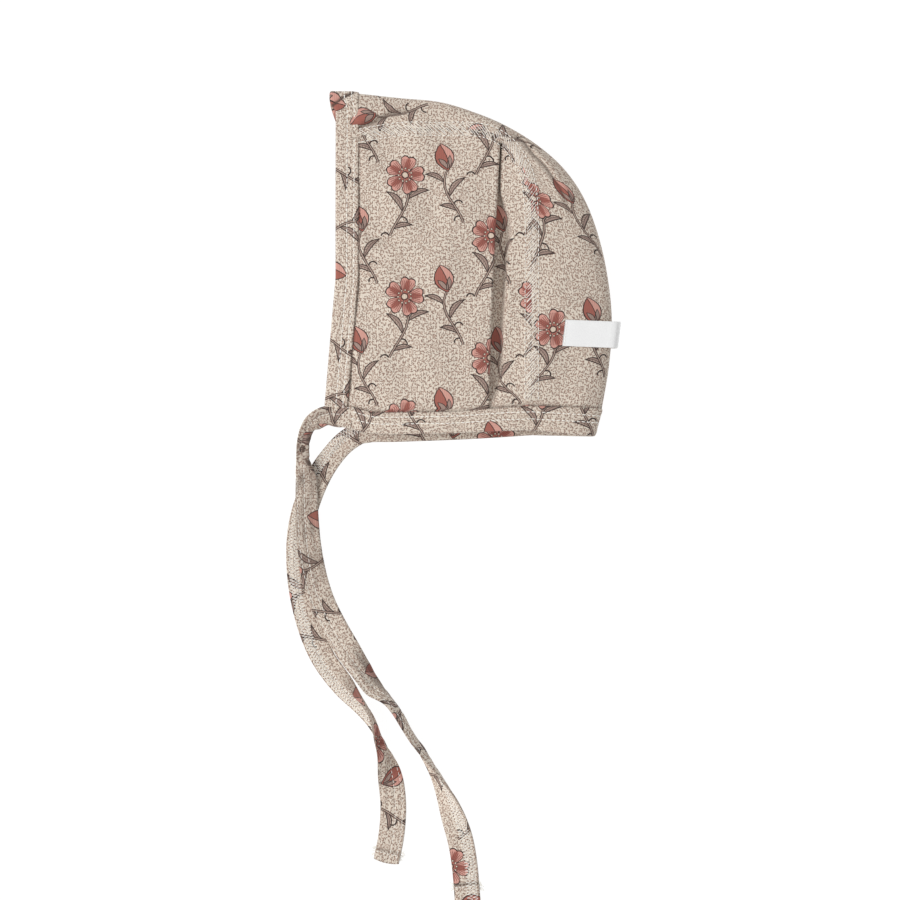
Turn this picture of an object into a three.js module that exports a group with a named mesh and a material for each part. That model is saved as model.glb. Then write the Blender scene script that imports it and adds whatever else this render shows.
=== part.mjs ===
// A baby bonnet of printed cotton jersey, lying on its side.
// Millimetres, +Z up. +X runs from the face opening to the back of the head, +Y from the neck to the crown.
// The origin is on the surface that the bonnet lies on, under the middle of the bonnet without its ties.
// The near side is the upper one, and the far side lies on the surface.

import * as THREE from 'three';

// Driving dimensions
const clothThickness = 1.1;
const bandThickness = 3;
const bandRoundness = 0.6;
const tieThickness = 2;
const tieWidth = 12.4;
const tieStepsPerRow = 2;
const labelThickness = 1;
const labelWidth = 12.8;
const seamGap = 0.6;
const neckGap = 0.7;
const faceGap = 0.7;

// Face edge: the band's outer edge in plan, straight at the crown and flaring towards the neck
const faceEdgeX = -65.6;
const faceBandWidth = 11.3;
const faceFlare = 5.3;
const faceFlareTopY = -6;
const faceFlareLength = 60;
const faceNearEndY = -66;
const faceFarEndY = -72.3;
const faceFoldY = 82.5;
const faceFoldZ = 6.5;
const faceFoldDepth = 17;

// Heights of the near side's cloth over the surface, at the four corners and in the middles
const neckY = -79;
const seamTopY = 65.9;
const seamBackX = 28.2;
const faceHeight = { neck: 8.5, middle: 16.5, crown: 10.5 };
const backHeight = { neck: 16, middle: 21.5, crown: 17 };
const domeHeight = 3.5;
const neckArchHeight = 3;
const neckArchReach = 0.4;

// Knife pleat of a side panel: its front part lies over its back part, and the folded cloth is three layers
const pleatDepth = 6;
const pleatTurn = 0.95;
const pleatTopY = 59;
const pleatEdgeX = { neck: 7.3, crown: 13.1 };
const pleatEdgeEase = 1.35;
const pleatRiseStart = 0.35;
const flatPleatWidth = 4;

// Far side: the band's shift towards the back at the neck, and its flare to the front at the crown fold
const farShift = { amount: 6, startY: 40, length: 112 };
const farFlare = { amount: 3, startY: 68, endY: 80 };

// Centre strip, from the face to the neck: the fold that it lies on, and its seam to a side panel
const stripRows = [
  { foldX: -53.7, foldY: 82.1, foldZ: 6.5, seamX: -53.7, seamY: 65.9, farDrop: 0 },
  { foldX: -34.9, foldY: 80.0, foldZ: 7.5, seamX: -34.9, seamY: 65.9, farDrop: 0 },
  { foldX: -15.7, foldY: 78.2, foldZ: 8.5, seamX: -15.7, seamY: 65.9, farDrop: 0 },
  { foldX: 0.9, foldY: 73.4, foldZ: 9.0, seamX: -1.3, seamY: 65.9, farDrop: 0 },
  { foldX: 16.0, foldY: 67.1, foldZ: 9.5, seamX: 9.2, seamY: 63.7, farDrop: 0 },
  { foldX: 30.4, foldY: 58.0, foldZ: 10.0, seamX: 17.4, seamY: 58.0, farDrop: 0 },
  { foldX: 42.8, foldY: 47.0, foldZ: 10.5, seamX: 23.2, seamY: 49.8, farDrop: 0 },
  { foldX: 52.4, foldY: 33.2, foldZ: 10.5, seamX: 26.8, seamY: 39.2, farDrop: 0 },
  { foldX: 59.1, foldY: 16.0, foldZ: 10.5, seamX: 28.2, seamY: 22.4, farDrop: 0 },
  { foldX: 63.8, foldY: -4.1, foldZ: 10.5, seamX: 28.2, seamY: -1.6, farDrop: 0 },
  { foldX: 66.0, foldY: -25.6, foldZ: 10.5, seamX: 28.2, seamY: -25.6, farDrop: 0 },
  { foldX: 64.6, foldY: -46.5, foldZ: 10.0, seamX: 28.2, seamY: -47.2, farDrop: 1.2 },
  { foldX: 61.6, foldY: -63.6, foldZ: 9.0, seamX: 28.2, seamY: -66.0, farDrop: 2.2 },
];
const stripRoundness = 2.3;

// Neck band, from its near end round the back fold to its far end: middle line and width
const neckNearRows = [
  { x: -58.9, y: -72.3, width: 10.8 },
  { x: -46.9, y: -75.0, width: 10.8 },
  { x: -25.3, y: -75.0, width: 10.8 },
  { x: -6.1, y: -74.6, width: 10.8 },
  { x: 13.1, y: -73.3, width: 11.5 },
  { x: 28.2, y: -72.6, width: 12 },
];
const neckFoldRow = { x: 59.4, y: -71.4, width: 12.8 };
const neckFoldZ = 8.5;
const neckFoldLean = 15;
const neckFarRows = [
  { x: 28.2, y: -75.0, width: 12 },
  { x: -1.3, y: -77.0, width: 11.5 },
  { x: -34.9, y: -78.3, width: 11.5 },
  { x: -44.5, y: -78.4, width: 11.5 },
  { x: -50.4, y: -78.8, width: 11.0 },
];

// Ties: route of the middle line, the lift of the lowest edge over the surface, the roll of the flat tie
// about its route in degrees, and the width left where the tie is folded lengthways
const tieNearRows = [
  { x: -60.4, y: -72.1, lift: 8.4, roll: 0, width: 10.6 },
  { x: -65.0, y: -71.6, lift: 8.3, roll: 0, width: 9.8 },
  { x: -69.6, y: -71.3, lift: 8.1, roll: 0, width: 9.2 },
  { x: -74.0, y: -72.6, lift: 7.5, roll: 0, width: 8.2 },
  { x: -77.3, y: -74.9, lift: 6.7, roll: 0, width: 7.2 },
  { x: -79.3, y: -77.7, lift: 5.9, roll: 0, width: 6.4 },
  { x: -80.5, y: -80.8, lift: 5.1, roll: 0, width: 6.0 },
  { x: -81.5, y: -86.0, lift: 4.3, roll: 0, width: 5.8 },
  { x: -81.5, y: -92.8, lift: 3.4, roll: 0, width: 6.2 },
  { x: -80.8, y: -97.6, lift: 3.2, roll: 0, width: 8.2 },
  { x: -80.0, y: -102.4, lift: 2.8, roll: 0, width: 9.8 },
  { x: -79.7, y: -108.0, lift: 2.5, roll: 0, width: 10.6 },
  { x: -79.6, y: -114.4, lift: 2.4, roll: 0, width: 10.8 },
  { x: -79.2, y: -123.0, lift: 2.3, roll: 0, width: 11.0 },
  { x: -78.6, y: -132.0, lift: 2.3, roll: 0, width: 11.4 },
  { x: -77.4, y: -141.5, lift: 2.4, roll: 0, width: 12.0 },
  { x: -75.6, y: -150.5, lift: 2.4, roll: 0, width: 12.4 },
  { x: -72.6, y: -160.0, lift: 2.4, roll: 0, width: 12.4 },
  { x: -68.4, y: -169.0, lift: 2.4, roll: 0, width: 12.4 },
  { x: -61.9, y: -180.6, lift: 2.8, roll: 0, width: 12.4 },
  { x: -53.6, y: -193.6, lift: 2.9, roll: -14, width: 12.2 },
  { x: -47.4, y: -203.2, lift: 0.5, roll: -46, width: 12.0 },
  { x: -41.8, y: -209.8, lift: 0.0, roll: -64, width: 12.0 },
  { x: -35.2, y: -217.6, lift: 0.0, roll: -74, width: 12.0 },
  { x: -29.2, y: -227.2, lift: 0.0, roll: -82, width: 12.0 },
  { x: -22.9, y: -236.8, lift: 0.0, roll: -95, width: 12.0 },
  { x: -17.2, y: -246.4, lift: 0.0, roll: -112, width: 12.2 },
  { x: -12.4, y: -256.0, lift: 0.0, roll: -136, width: 12.4 },
  { x: -8.8, y: -265.6, lift: 0.0, roll: -162, width: 12.4 },
  { x: -5.9, y: -275.2, lift: 0.0, roll: -176, width: 12.4 },
  { x: -4.2, y: -284.8, lift: 0.0, roll: -180, width: 12.4 },
  { x: -3.2, y: -294.4, lift: 0.0, roll: -180, width: 12.4 },
  { x: -2.3, y: -306.4, lift: 0.0, roll: -180, width: 12.4 },
];
const tieFarRows = [
  { x: -51.3, y: -79.1, lift: 0.4, roll: 0, width: 11.2 },
  { x: -54.2, y: -79.6, lift: 0.3, roll: 0, width: 11.0 },
  { x: -58.0, y: -81.8, lift: 0.2, roll: 0, width: 10.8 },
  { x: -62.6, y: -85.3, lift: 0.0, roll: 0, width: 10.8 },
  { x: -66.9, y: -90.2, lift: 0.0, roll: 0, width: 10.8 },
  { x: -70.9, y: -95.6, lift: 0.0, roll: 0, width: 11.2 },
  { x: -74.5, y: -101.8, lift: 0.0, roll: 0, width: 11.6 },
  { x: -77.8, y: -109.0, lift: 0.0, roll: 0, width: 12.0 },
  { x: -80.6, y: -117.0, lift: 0.0, roll: 0, width: 12.4 },
  { x: -82.5, y: -125.4, lift: 0.0, roll: 0, width: 12.4 },
  { x: -83.3, y: -133.6, lift: 0.0, roll: 0, width: 12.4 },
  { x: -83.3, y: -141.7, lift: 0.0, roll: 0, width: 12.4 },
  { x: -82.7, y: -150.4, lift: 0.0, roll: 0, width: 12.4 },
  { x: -81.2, y: -160.0, lift: 0.0, roll: 0, width: 12.4 },
  { x: -78.8, y: -169.6, lift: 0.0, roll: 0, width: 12.4 },
  { x: -75.5, y: -179.2, lift: 0.0, roll: 0, width: 12.4 },
  { x: -70.9, y: -188.8, lift: 0.0, roll: 0, width: 12.4 },
  { x: -64.4, y: -198.4, lift: 0.0, roll: 12, width: 12.2 },
  { x: -56.8, y: -208.0, lift: 0.0, roll: 42, width: 12.0 },
  { x: -50.0, y: -217.6, lift: 0.0, roll: 70, width: 12.0 },
  { x: -45.7, y: -226.0, lift: 0.0, roll: 92, width: 12.0 },
  { x: -42.4, y: -234.0, lift: 0.0, roll: 118, width: 12.2 },
  { x: -39.4, y: -245.0, lift: 0.0, roll: 164, width: 12.4 },
  { x: -38.2, y: -256.0, lift: 0.0, roll: 178, width: 12.4 },
  { x: -38.3, y: -265.6, lift: 0.0, roll: 180, width: 12.4 },
  { x: -39.4, y: -275.2, lift: 0.0, roll: 180, width: 12.4 },
  { x: -40.4, y: -285.4, lift: 0.0, roll: 180, width: 12.4 },
];

// Label: a folded strip of satin over the back fold, which springs off the cloth towards the fold
const labelMiddleY = -31.7;
const labelNearX = 43;
const labelTipX = 70.0;
const labelFarX = 56;
const labelLeanX = 0.09;
const labelGap = 1.0;
const labelSpring = 1.2;
const labelShoulder = 1.6;
const labelCorner = { out: 0.75, down: 0.35 };
const labelStripRow = 10;

const clothMaterial = new THREE.MeshStandardMaterial({ color: 0xc3b2a2, roughness: 0.9, metalness: 0 });
const bandMaterial = new THREE.MeshStandardMaterial({ color: 0xbfae9e, roughness: 0.9, metalness: 0 });
const labelMaterial = new THREE.MeshStandardMaterial({ color: 0xf2f2f0, roughness: 0.45, metalness: 0 });

const { clamp, lerp, smoothstep, degToRad } = THREE.MathUtils;

// Outer edge of the face band on the near side
function faceOuterX(y) {
  return faceEdgeX - faceFlare * clamp((faceFlareTopY - y) / faceFlareLength, 0, 1);
}

// A quadratic through three heights, at 0, 0.5 and 1
function through(t, low, middle, high) {
  return low * (1 - t) * (1 - 2 * t) + middle * 4 * t * (1 - t) + high * t * (2 * t - 1);
}

// Middle of the near side's cloth over the surface
function nearHeight(x, y) {
  const across = clamp((x - faceOuterX(y)) / (seamBackX - faceOuterX(y)), 0, 1);
  const along = clamp((y - neckY) / (seamTopY - neckY), 0, 1);
  const face = through(along, faceHeight.neck, faceHeight.middle, faceHeight.crown);
  const back = through(along, backHeight.neck, backHeight.middle, backHeight.crown);
  const arch = Math.sin(Math.PI * across);
  const dome = domeHeight * arch * Math.sin(Math.PI * along);
  const neckArch = neckArchHeight * arch * (1 - smoothstep(along, 0, neckArchReach));
  return lerp(face, back, across) + dome + neckArch;
}

// A point of a rounded fold: turn is 1 at the seam on the near side, 0 on the fold and -1 at the far seam
function foldPoint(turn) {
  const angle = Math.abs(turn) * Math.PI / 2;
  return {
    inward: 1 - Math.cos(angle) ** (2 / stripRoundness),
    rise: Math.sin(angle) ** (2 / stripRoundness),
  };
}

function foldHeight(turn, foldZ, nearZ, farZ) {
  const { rise } = foldPoint(turn);
  return turn >= 0 ? lerp(foldZ, nearZ, rise) : lerp(foldZ, farZ, rise);
}

// A smooth curve of numbers through the rows, sampled at t from 0 to 1
function sampler(rows, keys) {
  return (t) => {
    const scaled = clamp(t, 0, 1) * (rows.length - 1);
    const index = Math.min(Math.floor(scaled), rows.length - 2);
    const part = scaled - index;
    const pick = (offset, key) => rows[clamp(index + offset, 0, rows.length - 1)][key];
    const result = {};
    for (const key of keys) {
      const [a, b, c, d] = [pick(-1, key), pick(0, key), pick(1, key), pick(2, key)];
      const bend = (2 * a - 5 * b + 4 * c - d) * part + (3 * b - 3 * c + d - a) * part * part;
      result[key] = b + 0.5 * part * (c - a + bend);
    }
    return result;
  };
}

function geometryFrom(points, triangles) {
  const geometry = new THREE.BufferGeometry().setFromPoints(points);
  geometry.setIndex(triangles.flat());
  if (signedVolume(points, triangles) < 0) {
    geometry.setIndex(triangles.map(([a, b, c]) => [a, c, b]).flat());
  }
  geometry.computeVertexNormals();
  return geometry;
}

function signedVolume(points, triangles) {
  const cross = new THREE.Vector3();
  let volume = 0;
  for (const [a, b, c] of triangles) {
    cross.crossVectors(points[b], points[c]);
    volume += points[a].dot(cross) / 6;
  }
  return volume;
}

// A wall of cloth on both sides of a grid of middle points
function clothWall(grid, thickness) {
  const rows = grid.length;
  const columns = grid[0].length;
  const at = (row, column) => grid[clamp(row, 0, rows - 1)][clamp(column, 0, columns - 1)];
  const outer = [];
  const inner = [];
  for (let row = 0; row < rows; row += 1) {
    for (let column = 0; column < columns; column += 1) {
      const along = at(row + 1, column).clone().sub(at(row - 1, column));
      const across = at(row, column + 1).clone().sub(at(row, column - 1));
      const normal = across.cross(along).normalize();
      outer.push(at(row, column).clone().addScaledVector(normal, thickness / 2));
      inner.push(at(row, column).clone().addScaledVector(normal, -thickness / 2));
    }
  }
  const count = rows * columns;
  const index = (row, column) => row * columns + column;
  const triangles = [];
  const quad = (a, b, c, d) => triangles.push([a, b, c], [a, c, d]);
  for (let row = 0; row < rows - 1; row += 1) {
    for (let column = 0; column < columns - 1; column += 1) {
      const corners = [[row, column], [row, column + 1], [row + 1, column + 1], [row + 1, column]];
      const [a, b, c, d] = corners.map((corner) => index(...corner));
      quad(a, b, c, d);
      quad(count + d, count + c, count + b, count + a);
    }
  }
  const rim = [];
  for (let column = 0; column < columns - 1; column += 1) rim.push(index(0, column));
  for (let row = 0; row < rows - 1; row += 1) rim.push(index(row, columns - 1));
  for (let column = columns - 1; column > 0; column -= 1) rim.push(index(rows - 1, column));
  for (let row = rows - 1; row > 0; row -= 1) rim.push(index(row, 0));
  rim.forEach((from, step) => {
    const to = rim[(step + 1) % rim.length];
    quad(to, from, count + from, count + to);
  });
  return geometryFrom([...outer, ...inner], triangles);
}

// A flat band with rounded edges through frames of a centre, a side direction, a width and a thickness
function bandSolid(frames) {
  const points = [];
  const ring = 8;
  for (const { centre, side, tangent, width, thickness } of frames) {
    const half = thickness / 2;
    const corner = half * bandRoundness;
    const flatSide = side.clone().addScaledVector(tangent, -side.dot(tangent)).normalize();
    const normal = new THREE.Vector3().crossVectors(tangent, flatSide).normalize();
    const reach = width / 2;
    const section = [
      [reach, -half + corner], [reach, half - corner], [reach - corner, half], [-reach + corner, half],
      [-reach, half - corner], [-reach, -half + corner], [-reach + corner, -half], [reach - corner, -half],
    ];
    for (const [across, up] of section) {
      points.push(centre.clone().addScaledVector(flatSide, across).addScaledVector(normal, up));
    }
  }
  const triangles = [];
  for (let frame = 0; frame < frames.length - 1; frame += 1) {
    for (let step = 0; step < ring; step += 1) {
      const a = frame * ring + step;
      const b = frame * ring + ((step + 1) % ring);
      triangles.push([a, b, b + ring], [a, b + ring, a + ring]);
    }
  }
  const last = (frames.length - 1) * ring;
  for (let step = 1; step < ring - 1; step += 1) {
    triangles.push([0, step + 1, step], [last, last + step, last + step + 1]);
  }
  return geometryFrom(points, triangles);
}

function withTangents(frames) {
  return frames.map((frame, index) => {
    const before = frames[Math.max(index - 1, 0)].centre;
    const after = frames[Math.min(index + 1, frames.length - 1)].centre;
    return { ...frame, tangent: after.clone().sub(before).normalize() };
  });
}

// Side panels
const sampleStrip = sampler(stripRows, ['foldX', 'foldY', 'foldZ', 'seamX', 'seamY', 'farDrop']);
const stripStations = 36;
const panelTopStation = 9;
const frontSteps = 7;
const backSteps = 6;
const foldedSteps = 5;
const neckBlendTopY = -20;
const stripEndY = stripRows[stripRows.length - 1].seamY;

// The seam line moved into the panel by the gap between the pieces
function panelSeam(t) {
  const step = 0.004;
  const { seamX, seamY } = sampleStrip(t);
  const before = sampleStrip(t - step);
  const after = sampleStrip(t + step);
  const along = new THREE.Vector2(after.seamX - before.seamX, after.seamY - before.seamY).normalize();
  return { seamX: seamX + along.y * seamGap, seamY: seamY - along.x * seamGap };
}

// Upper edge of the neck band over x
function neckEdgeY(rows, x) {
  const sorted = [...rows].sort((a, b) => a.x - b.x);
  const next = clamp(sorted.findIndex((row) => row.x > x), 1, sorted.length - 1);
  const [a, b] = [sorted[next - 1], sorted[next]];
  const part = clamp((x - a.x) / (b.x - a.x), 0, 1);
  return lerp(a.y + a.width / 2, b.y + b.width / 2, part);
}

// Middle line of the face band on the far side
function farBandMiddleX(y) {
  const flare = farFlare.amount * smoothstep(y, farFlare.startY, farFlare.endY);
  const shift = farShift.amount * clamp((farShift.startY - y) / farShift.length, 0, 1);
  return faceEdgeX + faceBandWidth / 2 + shift - flare;
}

// A row of a panel as pairs of x and the number of turns that the cloth lies under its outer layer
function foldedProfile(left, right, edge) {
  const back = edge - pleatDepth;
  const profile = [];
  for (let step = 0; step <= frontSteps; step += 1) {
    profile.push([lerp(left, edge - pleatTurn, step / frontSteps), 0]);
  }
  profile.push([edge, 1], [edge - pleatTurn, 2], [back + pleatTurn, 2], [back, 3], [back + pleatTurn, 4]);
  for (let step = 1; step <= backSteps; step += 1) {
    const part = step / backSteps;
    profile.push([lerp(back + pleatTurn, right, part), 4 * (1 - smoothstep(part, pleatRiseStart, 1))]);
  }
  return profile;
}

// The same number of points in a row above the pleat
function flatProfile(left, right, edge) {
  const flatEdge = Math.min(edge, right - flatPleatWidth) - pleatTurn;
  const flatSteps = backSteps + foldedSteps;
  const profile = [];
  for (let step = 0; step <= frontSteps; step += 1) {
    profile.push([lerp(left, flatEdge, step / frontSteps), 0]);
  }
  for (let step = 1; step <= flatSteps; step += 1) {
    profile.push([lerp(flatEdge, right, step / flatSteps), 0]);
  }
  return profile;
}

// The rows of a panel go up the back seam and round its corner, and each runs from the face band to the seam
function panelGrid(isNear) {
  const neckRows = isNear ? neckNearRows : neckFarRows;
  const inwards = isNear ? -1 : 1;
  const layer = (x, y) => (isNear ? nearHeight(x, y) : clothThickness / 2);
  const grid = [];
  for (let station = stripStations; station >= panelTopStation; station -= 1) {
    const { seamX, seamY } = panelSeam(station / stripStations);
    const faceX = isNear ? faceOuterX(seamY) + faceBandWidth : farBandMiddleX(seamY) + faceBandWidth / 2;
    const left = faceX + faceGap;
    const right = seamX;
    const rise = clamp((seamY - stripEndY) / (seamTopY - stripEndY), 0, 1);
    const edge = lerp(pleatEdgeX.neck, pleatEdgeX.crown, rise ** pleatEdgeEase);
    const profile = seamY < pleatTopY ? foldedProfile(left, right, edge) : flatProfile(left, right, edge);
    const bottomBlend = 1 - smoothstep(seamY, stripEndY, neckBlendTopY);
    grid.push(profile.map(([x, layers]) => {
      const y = seamY + bottomBlend * (neckEdgeY(neckRows, x) + neckGap - stripEndY);
      return new THREE.Vector3(x, y, layer(x, y) + inwards * layers * pleatTurn);
    }));
  }
  return grid;
}

// Centre strip
function stripGrid() {
  const turns = 6;
  const grid = [];
  for (let station = 0; station <= stripStations; station += 1) {
    const row = sampleStrip(station / stripStations);
    const nearZ = nearHeight(row.seamX, row.seamY);
    const line = [];
    for (let step = turns; step >= -turns; step -= 1) {
      const turn = step / turns;
      const { inward } = foldPoint(turn);
      const drop = turn < 0 ? row.farDrop * -turn : 0;
      line.push(new THREE.Vector3(
        lerp(row.foldX, row.seamX, inward),
        lerp(row.foldY, row.seamY, inward) - drop,
        foldHeight(turn, row.foldZ, nearZ, clothThickness / 2),
      ));
    }
    grid.push(line);
  }
  return grid;
}

// Face band
function faceBandFrames() {
  const frames = [];
  const push = (x, y, z) => frames.push({
    centre: new THREE.Vector3(x, y, z),
    side: new THREE.Vector3(1, 0, 0),
    width: faceBandWidth,
    thickness: bandThickness,
  });
  const legSteps = 14;
  const foldSteps = 8;
  const foldStartY = faceFoldY - faceFoldDepth;
  const nearX = (y) => faceOuterX(y) + faceBandWidth / 2;
  for (let step = 0; step < legSteps; step += 1) {
    const y = lerp(faceNearEndY, foldStartY, step / legSteps);
    push(nearX(y), y, nearHeight(nearX(y), y));
  }
  const nearZ = nearHeight(nearX(foldStartY), foldStartY);
  for (let step = foldSteps; step >= -foldSteps; step -= 1) {
    const turn = step / foldSteps;
    const y = faceFoldY - faceFoldDepth * foldPoint(turn).inward;
    const x = turn > 0 ? lerp(nearX(y), farBandMiddleX(y), 1 - turn) : farBandMiddleX(y);
    push(x, y, foldHeight(turn, faceFoldZ, nearZ, bandThickness / 2));
  }
  for (let step = 1; step <= legSteps; step += 1) {
    const y = lerp(foldStartY, faceFarEndY, step / legSteps);
    push(farBandMiddleX(y), y, bandThickness / 2);
  }
  return withTangents(frames);
}

// Neck band
function neckBandFrames() {
  const frames = [];
  const push = (x, y, z, width, lean) => {
    const angle = degToRad(lean);
    frames.push({
      centre: new THREE.Vector3(x, y, z),
      side: new THREE.Vector3(Math.sin(angle), Math.cos(angle), 0),
      width,
      thickness: bandThickness,
    });
  };
  const legSteps = 14;
  const foldSteps = 9;
  const near = sampler(neckNearRows, ['x', 'y', 'width']);
  const far = sampler(neckFarRows, ['x', 'y', 'width']);
  for (let step = 0; step < legSteps; step += 1) {
    const { x, y, width } = near(step / legSteps);
    push(x, y, nearHeight(x, y), width, 0);
  }
  const start = neckNearRows[neckNearRows.length - 1];
  const end = neckFarRows[0];
  const nearZ = nearHeight(start.x, start.y);
  for (let step = foldSteps; step >= -foldSteps; step -= 1) {
    const turn = step / foldSteps;
    const { inward } = foldPoint(turn);
    const leg = turn > 0 ? start : end;
    const z = foldHeight(turn, neckFoldZ, nearZ, bandThickness / 2);
    const width = lerp(neckFoldRow.width, leg.width, inward);
    const lean = neckFoldLean * (1 - inward);
    push(lerp(neckFoldRow.x, leg.x, inward), lerp(neckFoldRow.y, leg.y, inward), z, width, lean);
  }
  for (let step = 1; step <= legSteps; step += 1) {
    const { x, y, width } = far(step / legSteps);
    push(x, y, bandThickness / 2, width, 0);
  }
  return withTangents(frames);
}

// Ties
function tieFrames(rows) {
  const steps = rows.length * tieStepsPerRow;
  const sample = sampler(rows, ['x', 'y', 'lift', 'roll', 'width']);
  const frames = [];
  for (let step = 0; step <= steps; step += 1) {
    const { x, y, lift, roll, width } = sample(step / steps);
    const thickness = tieThickness * tieWidth / width;
    const angle = degToRad(roll);
    const reach = (Math.abs(Math.sin(angle)) * width + Math.abs(Math.cos(angle)) * thickness) / 2;
    const z = Math.max(lift, 0) + reach;
    frames.push({ centre: new THREE.Vector3(x, y, z), roll, width, thickness });
  }
  return withTangents(frames).map((frame) => {
    const level = new THREE.Vector3(frame.tangent.y, -frame.tangent.x, 0).normalize();
    const side = level.applyAxisAngle(frame.tangent, degToRad(frame.roll));
    return { ...frame, side };
  });
}

// Label
function labelFrames() {
  const lift = clothThickness / 2 + labelGap + labelThickness / 2;
  const row = stripRows[labelStripRow];
  const nearZ = nearHeight(row.seamX, row.seamY);
  const seamToFold = row.foldX - row.seamX;
  const nearSteps = 10;
  const farSteps = 4;
  const turnAt = (x) => {
    const cosine = clamp((x - row.seamX) / seamToFold, 0, 1) ** (stripRoundness / 2);
    return Math.acos(cosine) / (Math.PI / 2);
  };
  const stripHeight = (x, side) => foldHeight(side * turnAt(x), row.foldZ, nearZ, clothThickness / 2);
  const shoulderX = row.foldX - labelShoulder;
  const centres = [];
  for (let step = 0; step <= nearSteps; step += 1) {
    const part = step / nearSteps;
    const x = lerp(labelNearX, shoulderX, part);
    centres.push([x, stripHeight(x, 1) + lift + part * labelSpring]);
  }
  const shoulderZ = centres[nearSteps][1];
  const cornerX = lerp(shoulderX, labelTipX, labelCorner.out);
  centres.push([cornerX, lerp(shoulderZ, row.foldZ, labelCorner.down)]);
  centres.push([labelTipX, row.foldZ]);
  for (let step = 0; step <= farSteps; step += 1) {
    const x = lerp(shoulderX, labelFarX, step / farSteps);
    centres.push([x, stripHeight(x, -1) - lift]);
  }
  return withTangents(centres.map(([x, z]) => ({
    centre: new THREE.Vector3(x, labelMiddleY, z),
    side: new THREE.Vector3(labelLeanX, 1, 0),
    width: labelWidth,
    thickness: labelThickness,
  })));
}

const bonnet = new THREE.Group();

function addPiece(name, geometry, material) {
  const mesh = new THREE.Mesh(geometry, material);
  mesh.name = name;
  bonnet.add(mesh);
}

addPiece('side_panel_near', clothWall(panelGrid(true), clothThickness), clothMaterial);
addPiece('side_panel_far', clothWall(panelGrid(false), clothThickness), clothMaterial);
addPiece('centre_strip', clothWall(stripGrid(), clothThickness), clothMaterial);
addPiece('face_band', bandSolid(faceBandFrames()), bandMaterial);
addPiece('neck_band', bandSolid(neckBandFrames()), bandMaterial);
addPiece('tie_near', bandSolid(tieFrames(tieNearRows)), bandMaterial);
addPiece('tie_far', bandSolid(tieFrames(tieFarRows)), bandMaterial);
addPiece('label', bandSolid(labelFrames()), labelMaterial);

export default bonnet;
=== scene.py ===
# A baby bonnet of printed cotton jersey, lying on its side and seen from straight above.
# Metres, in the frame of the part: +X runs from the face opening to the back of the head, +Y from the
# neck to the crown, +Z up, and the surface that the bonnet lies on is at z = 0.

import math

import bpy
import numpy as np
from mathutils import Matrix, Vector
from mathutils.bvhtree import BVHTree


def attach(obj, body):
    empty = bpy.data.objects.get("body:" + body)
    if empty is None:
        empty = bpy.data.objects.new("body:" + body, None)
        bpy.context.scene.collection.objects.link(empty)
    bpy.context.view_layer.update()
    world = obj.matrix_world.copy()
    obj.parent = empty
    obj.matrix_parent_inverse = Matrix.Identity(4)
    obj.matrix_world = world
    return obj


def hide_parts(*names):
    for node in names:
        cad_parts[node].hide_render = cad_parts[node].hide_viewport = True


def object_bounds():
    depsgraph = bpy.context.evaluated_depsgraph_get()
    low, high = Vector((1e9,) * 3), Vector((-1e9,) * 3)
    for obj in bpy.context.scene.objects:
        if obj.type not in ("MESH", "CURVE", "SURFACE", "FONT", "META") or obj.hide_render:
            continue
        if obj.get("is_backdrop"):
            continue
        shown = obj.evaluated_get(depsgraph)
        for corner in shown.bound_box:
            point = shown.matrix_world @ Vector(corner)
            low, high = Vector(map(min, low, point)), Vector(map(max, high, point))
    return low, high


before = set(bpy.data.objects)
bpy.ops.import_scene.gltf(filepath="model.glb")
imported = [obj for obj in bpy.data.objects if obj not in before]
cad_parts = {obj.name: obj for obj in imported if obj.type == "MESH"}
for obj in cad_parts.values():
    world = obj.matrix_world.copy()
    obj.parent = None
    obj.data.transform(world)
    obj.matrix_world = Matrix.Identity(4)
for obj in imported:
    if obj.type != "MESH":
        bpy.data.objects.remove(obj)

cad_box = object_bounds()

# Cloth and bindings; the solid of each piece is a little thicker than its cloth
CLOTH_THICKNESS = 0.0008
SOLID_CLOTH_THICKNESS = 0.0011
BAND_THICKNESS = 0.0022
SOLID_BAND_THICKNESS = 0.003
TAPE_THICKNESS = 0.0016
SOLID_TIE_THICKNESS = 0.002
TIE_WIDTH = 0.0124
# Exponent that rounds a fold's section, between an ellipse at 2 and a box
FOLD_BLEND = 2.3
# How far the cloth reaches under a binding or past a seam
CLOTH_TUCK = 0.0012

# Tapes: the exponent that squares off their edges, the painted shade line along their edges (its strength and
# reach), and their height over the surface
EDGE_POWER = 10
EDGE_SHADE = 0.3
EDGE_SHADE_REACH = 0.0004
FLOOR_GAP = 0.00015
# Radius of a tie's edge where it is folded over lengthways
FOLD_RADIUS = 0.0008
# How far across the cloth the print of a tape's lower face is from that of its upper face
LOWER_PRINT_SHIFT = 0.021

# Face edge
FACE_EDGE_X = -0.0656
FACE_BAND_WIDTH = 0.0113
FACE_FLARE = 0.0053
FACE_FLARE_TOP_Y = -0.006
FACE_FLARE_LENGTH = 0.060
FACE_NEAR_END_Y = -0.0705
FACE_FAR_END_Y = -0.0755
FACE_SINK_LENGTH = 0.006
FACE_SINK = 0.0015
FACE_FOLD_Y = 0.0825
FACE_FOLD_Z = 0.0065
FACE_FOLD_DEPTH = 0.017
# The crease where the face binding turns over at the crown, in plan, and the way square to it
FACE_TURN = ((-0.0684, 0.0755), (-0.0625, 0.0803), (-0.0572, 0.0832))
FACE_TURN_WAY = (-0.58, 0.81)
FACE_TURN_HALF_WIDTH = 0.0006

# Heights of the near side's cloth over the surface
NECK_Y = -0.079
SEAM_TOP_Y = 0.0652
SEAM_BACK_X = 0.0280
FACE_HEIGHTS = (0.0085, 0.0165, 0.0105)
BACK_HEIGHTS = (0.016, 0.0215, 0.017)
DOME_HEIGHT = 0.0035
NECK_ARCH_HEIGHT = 0.003
NECK_ARCH_REACH = 0.4

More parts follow.
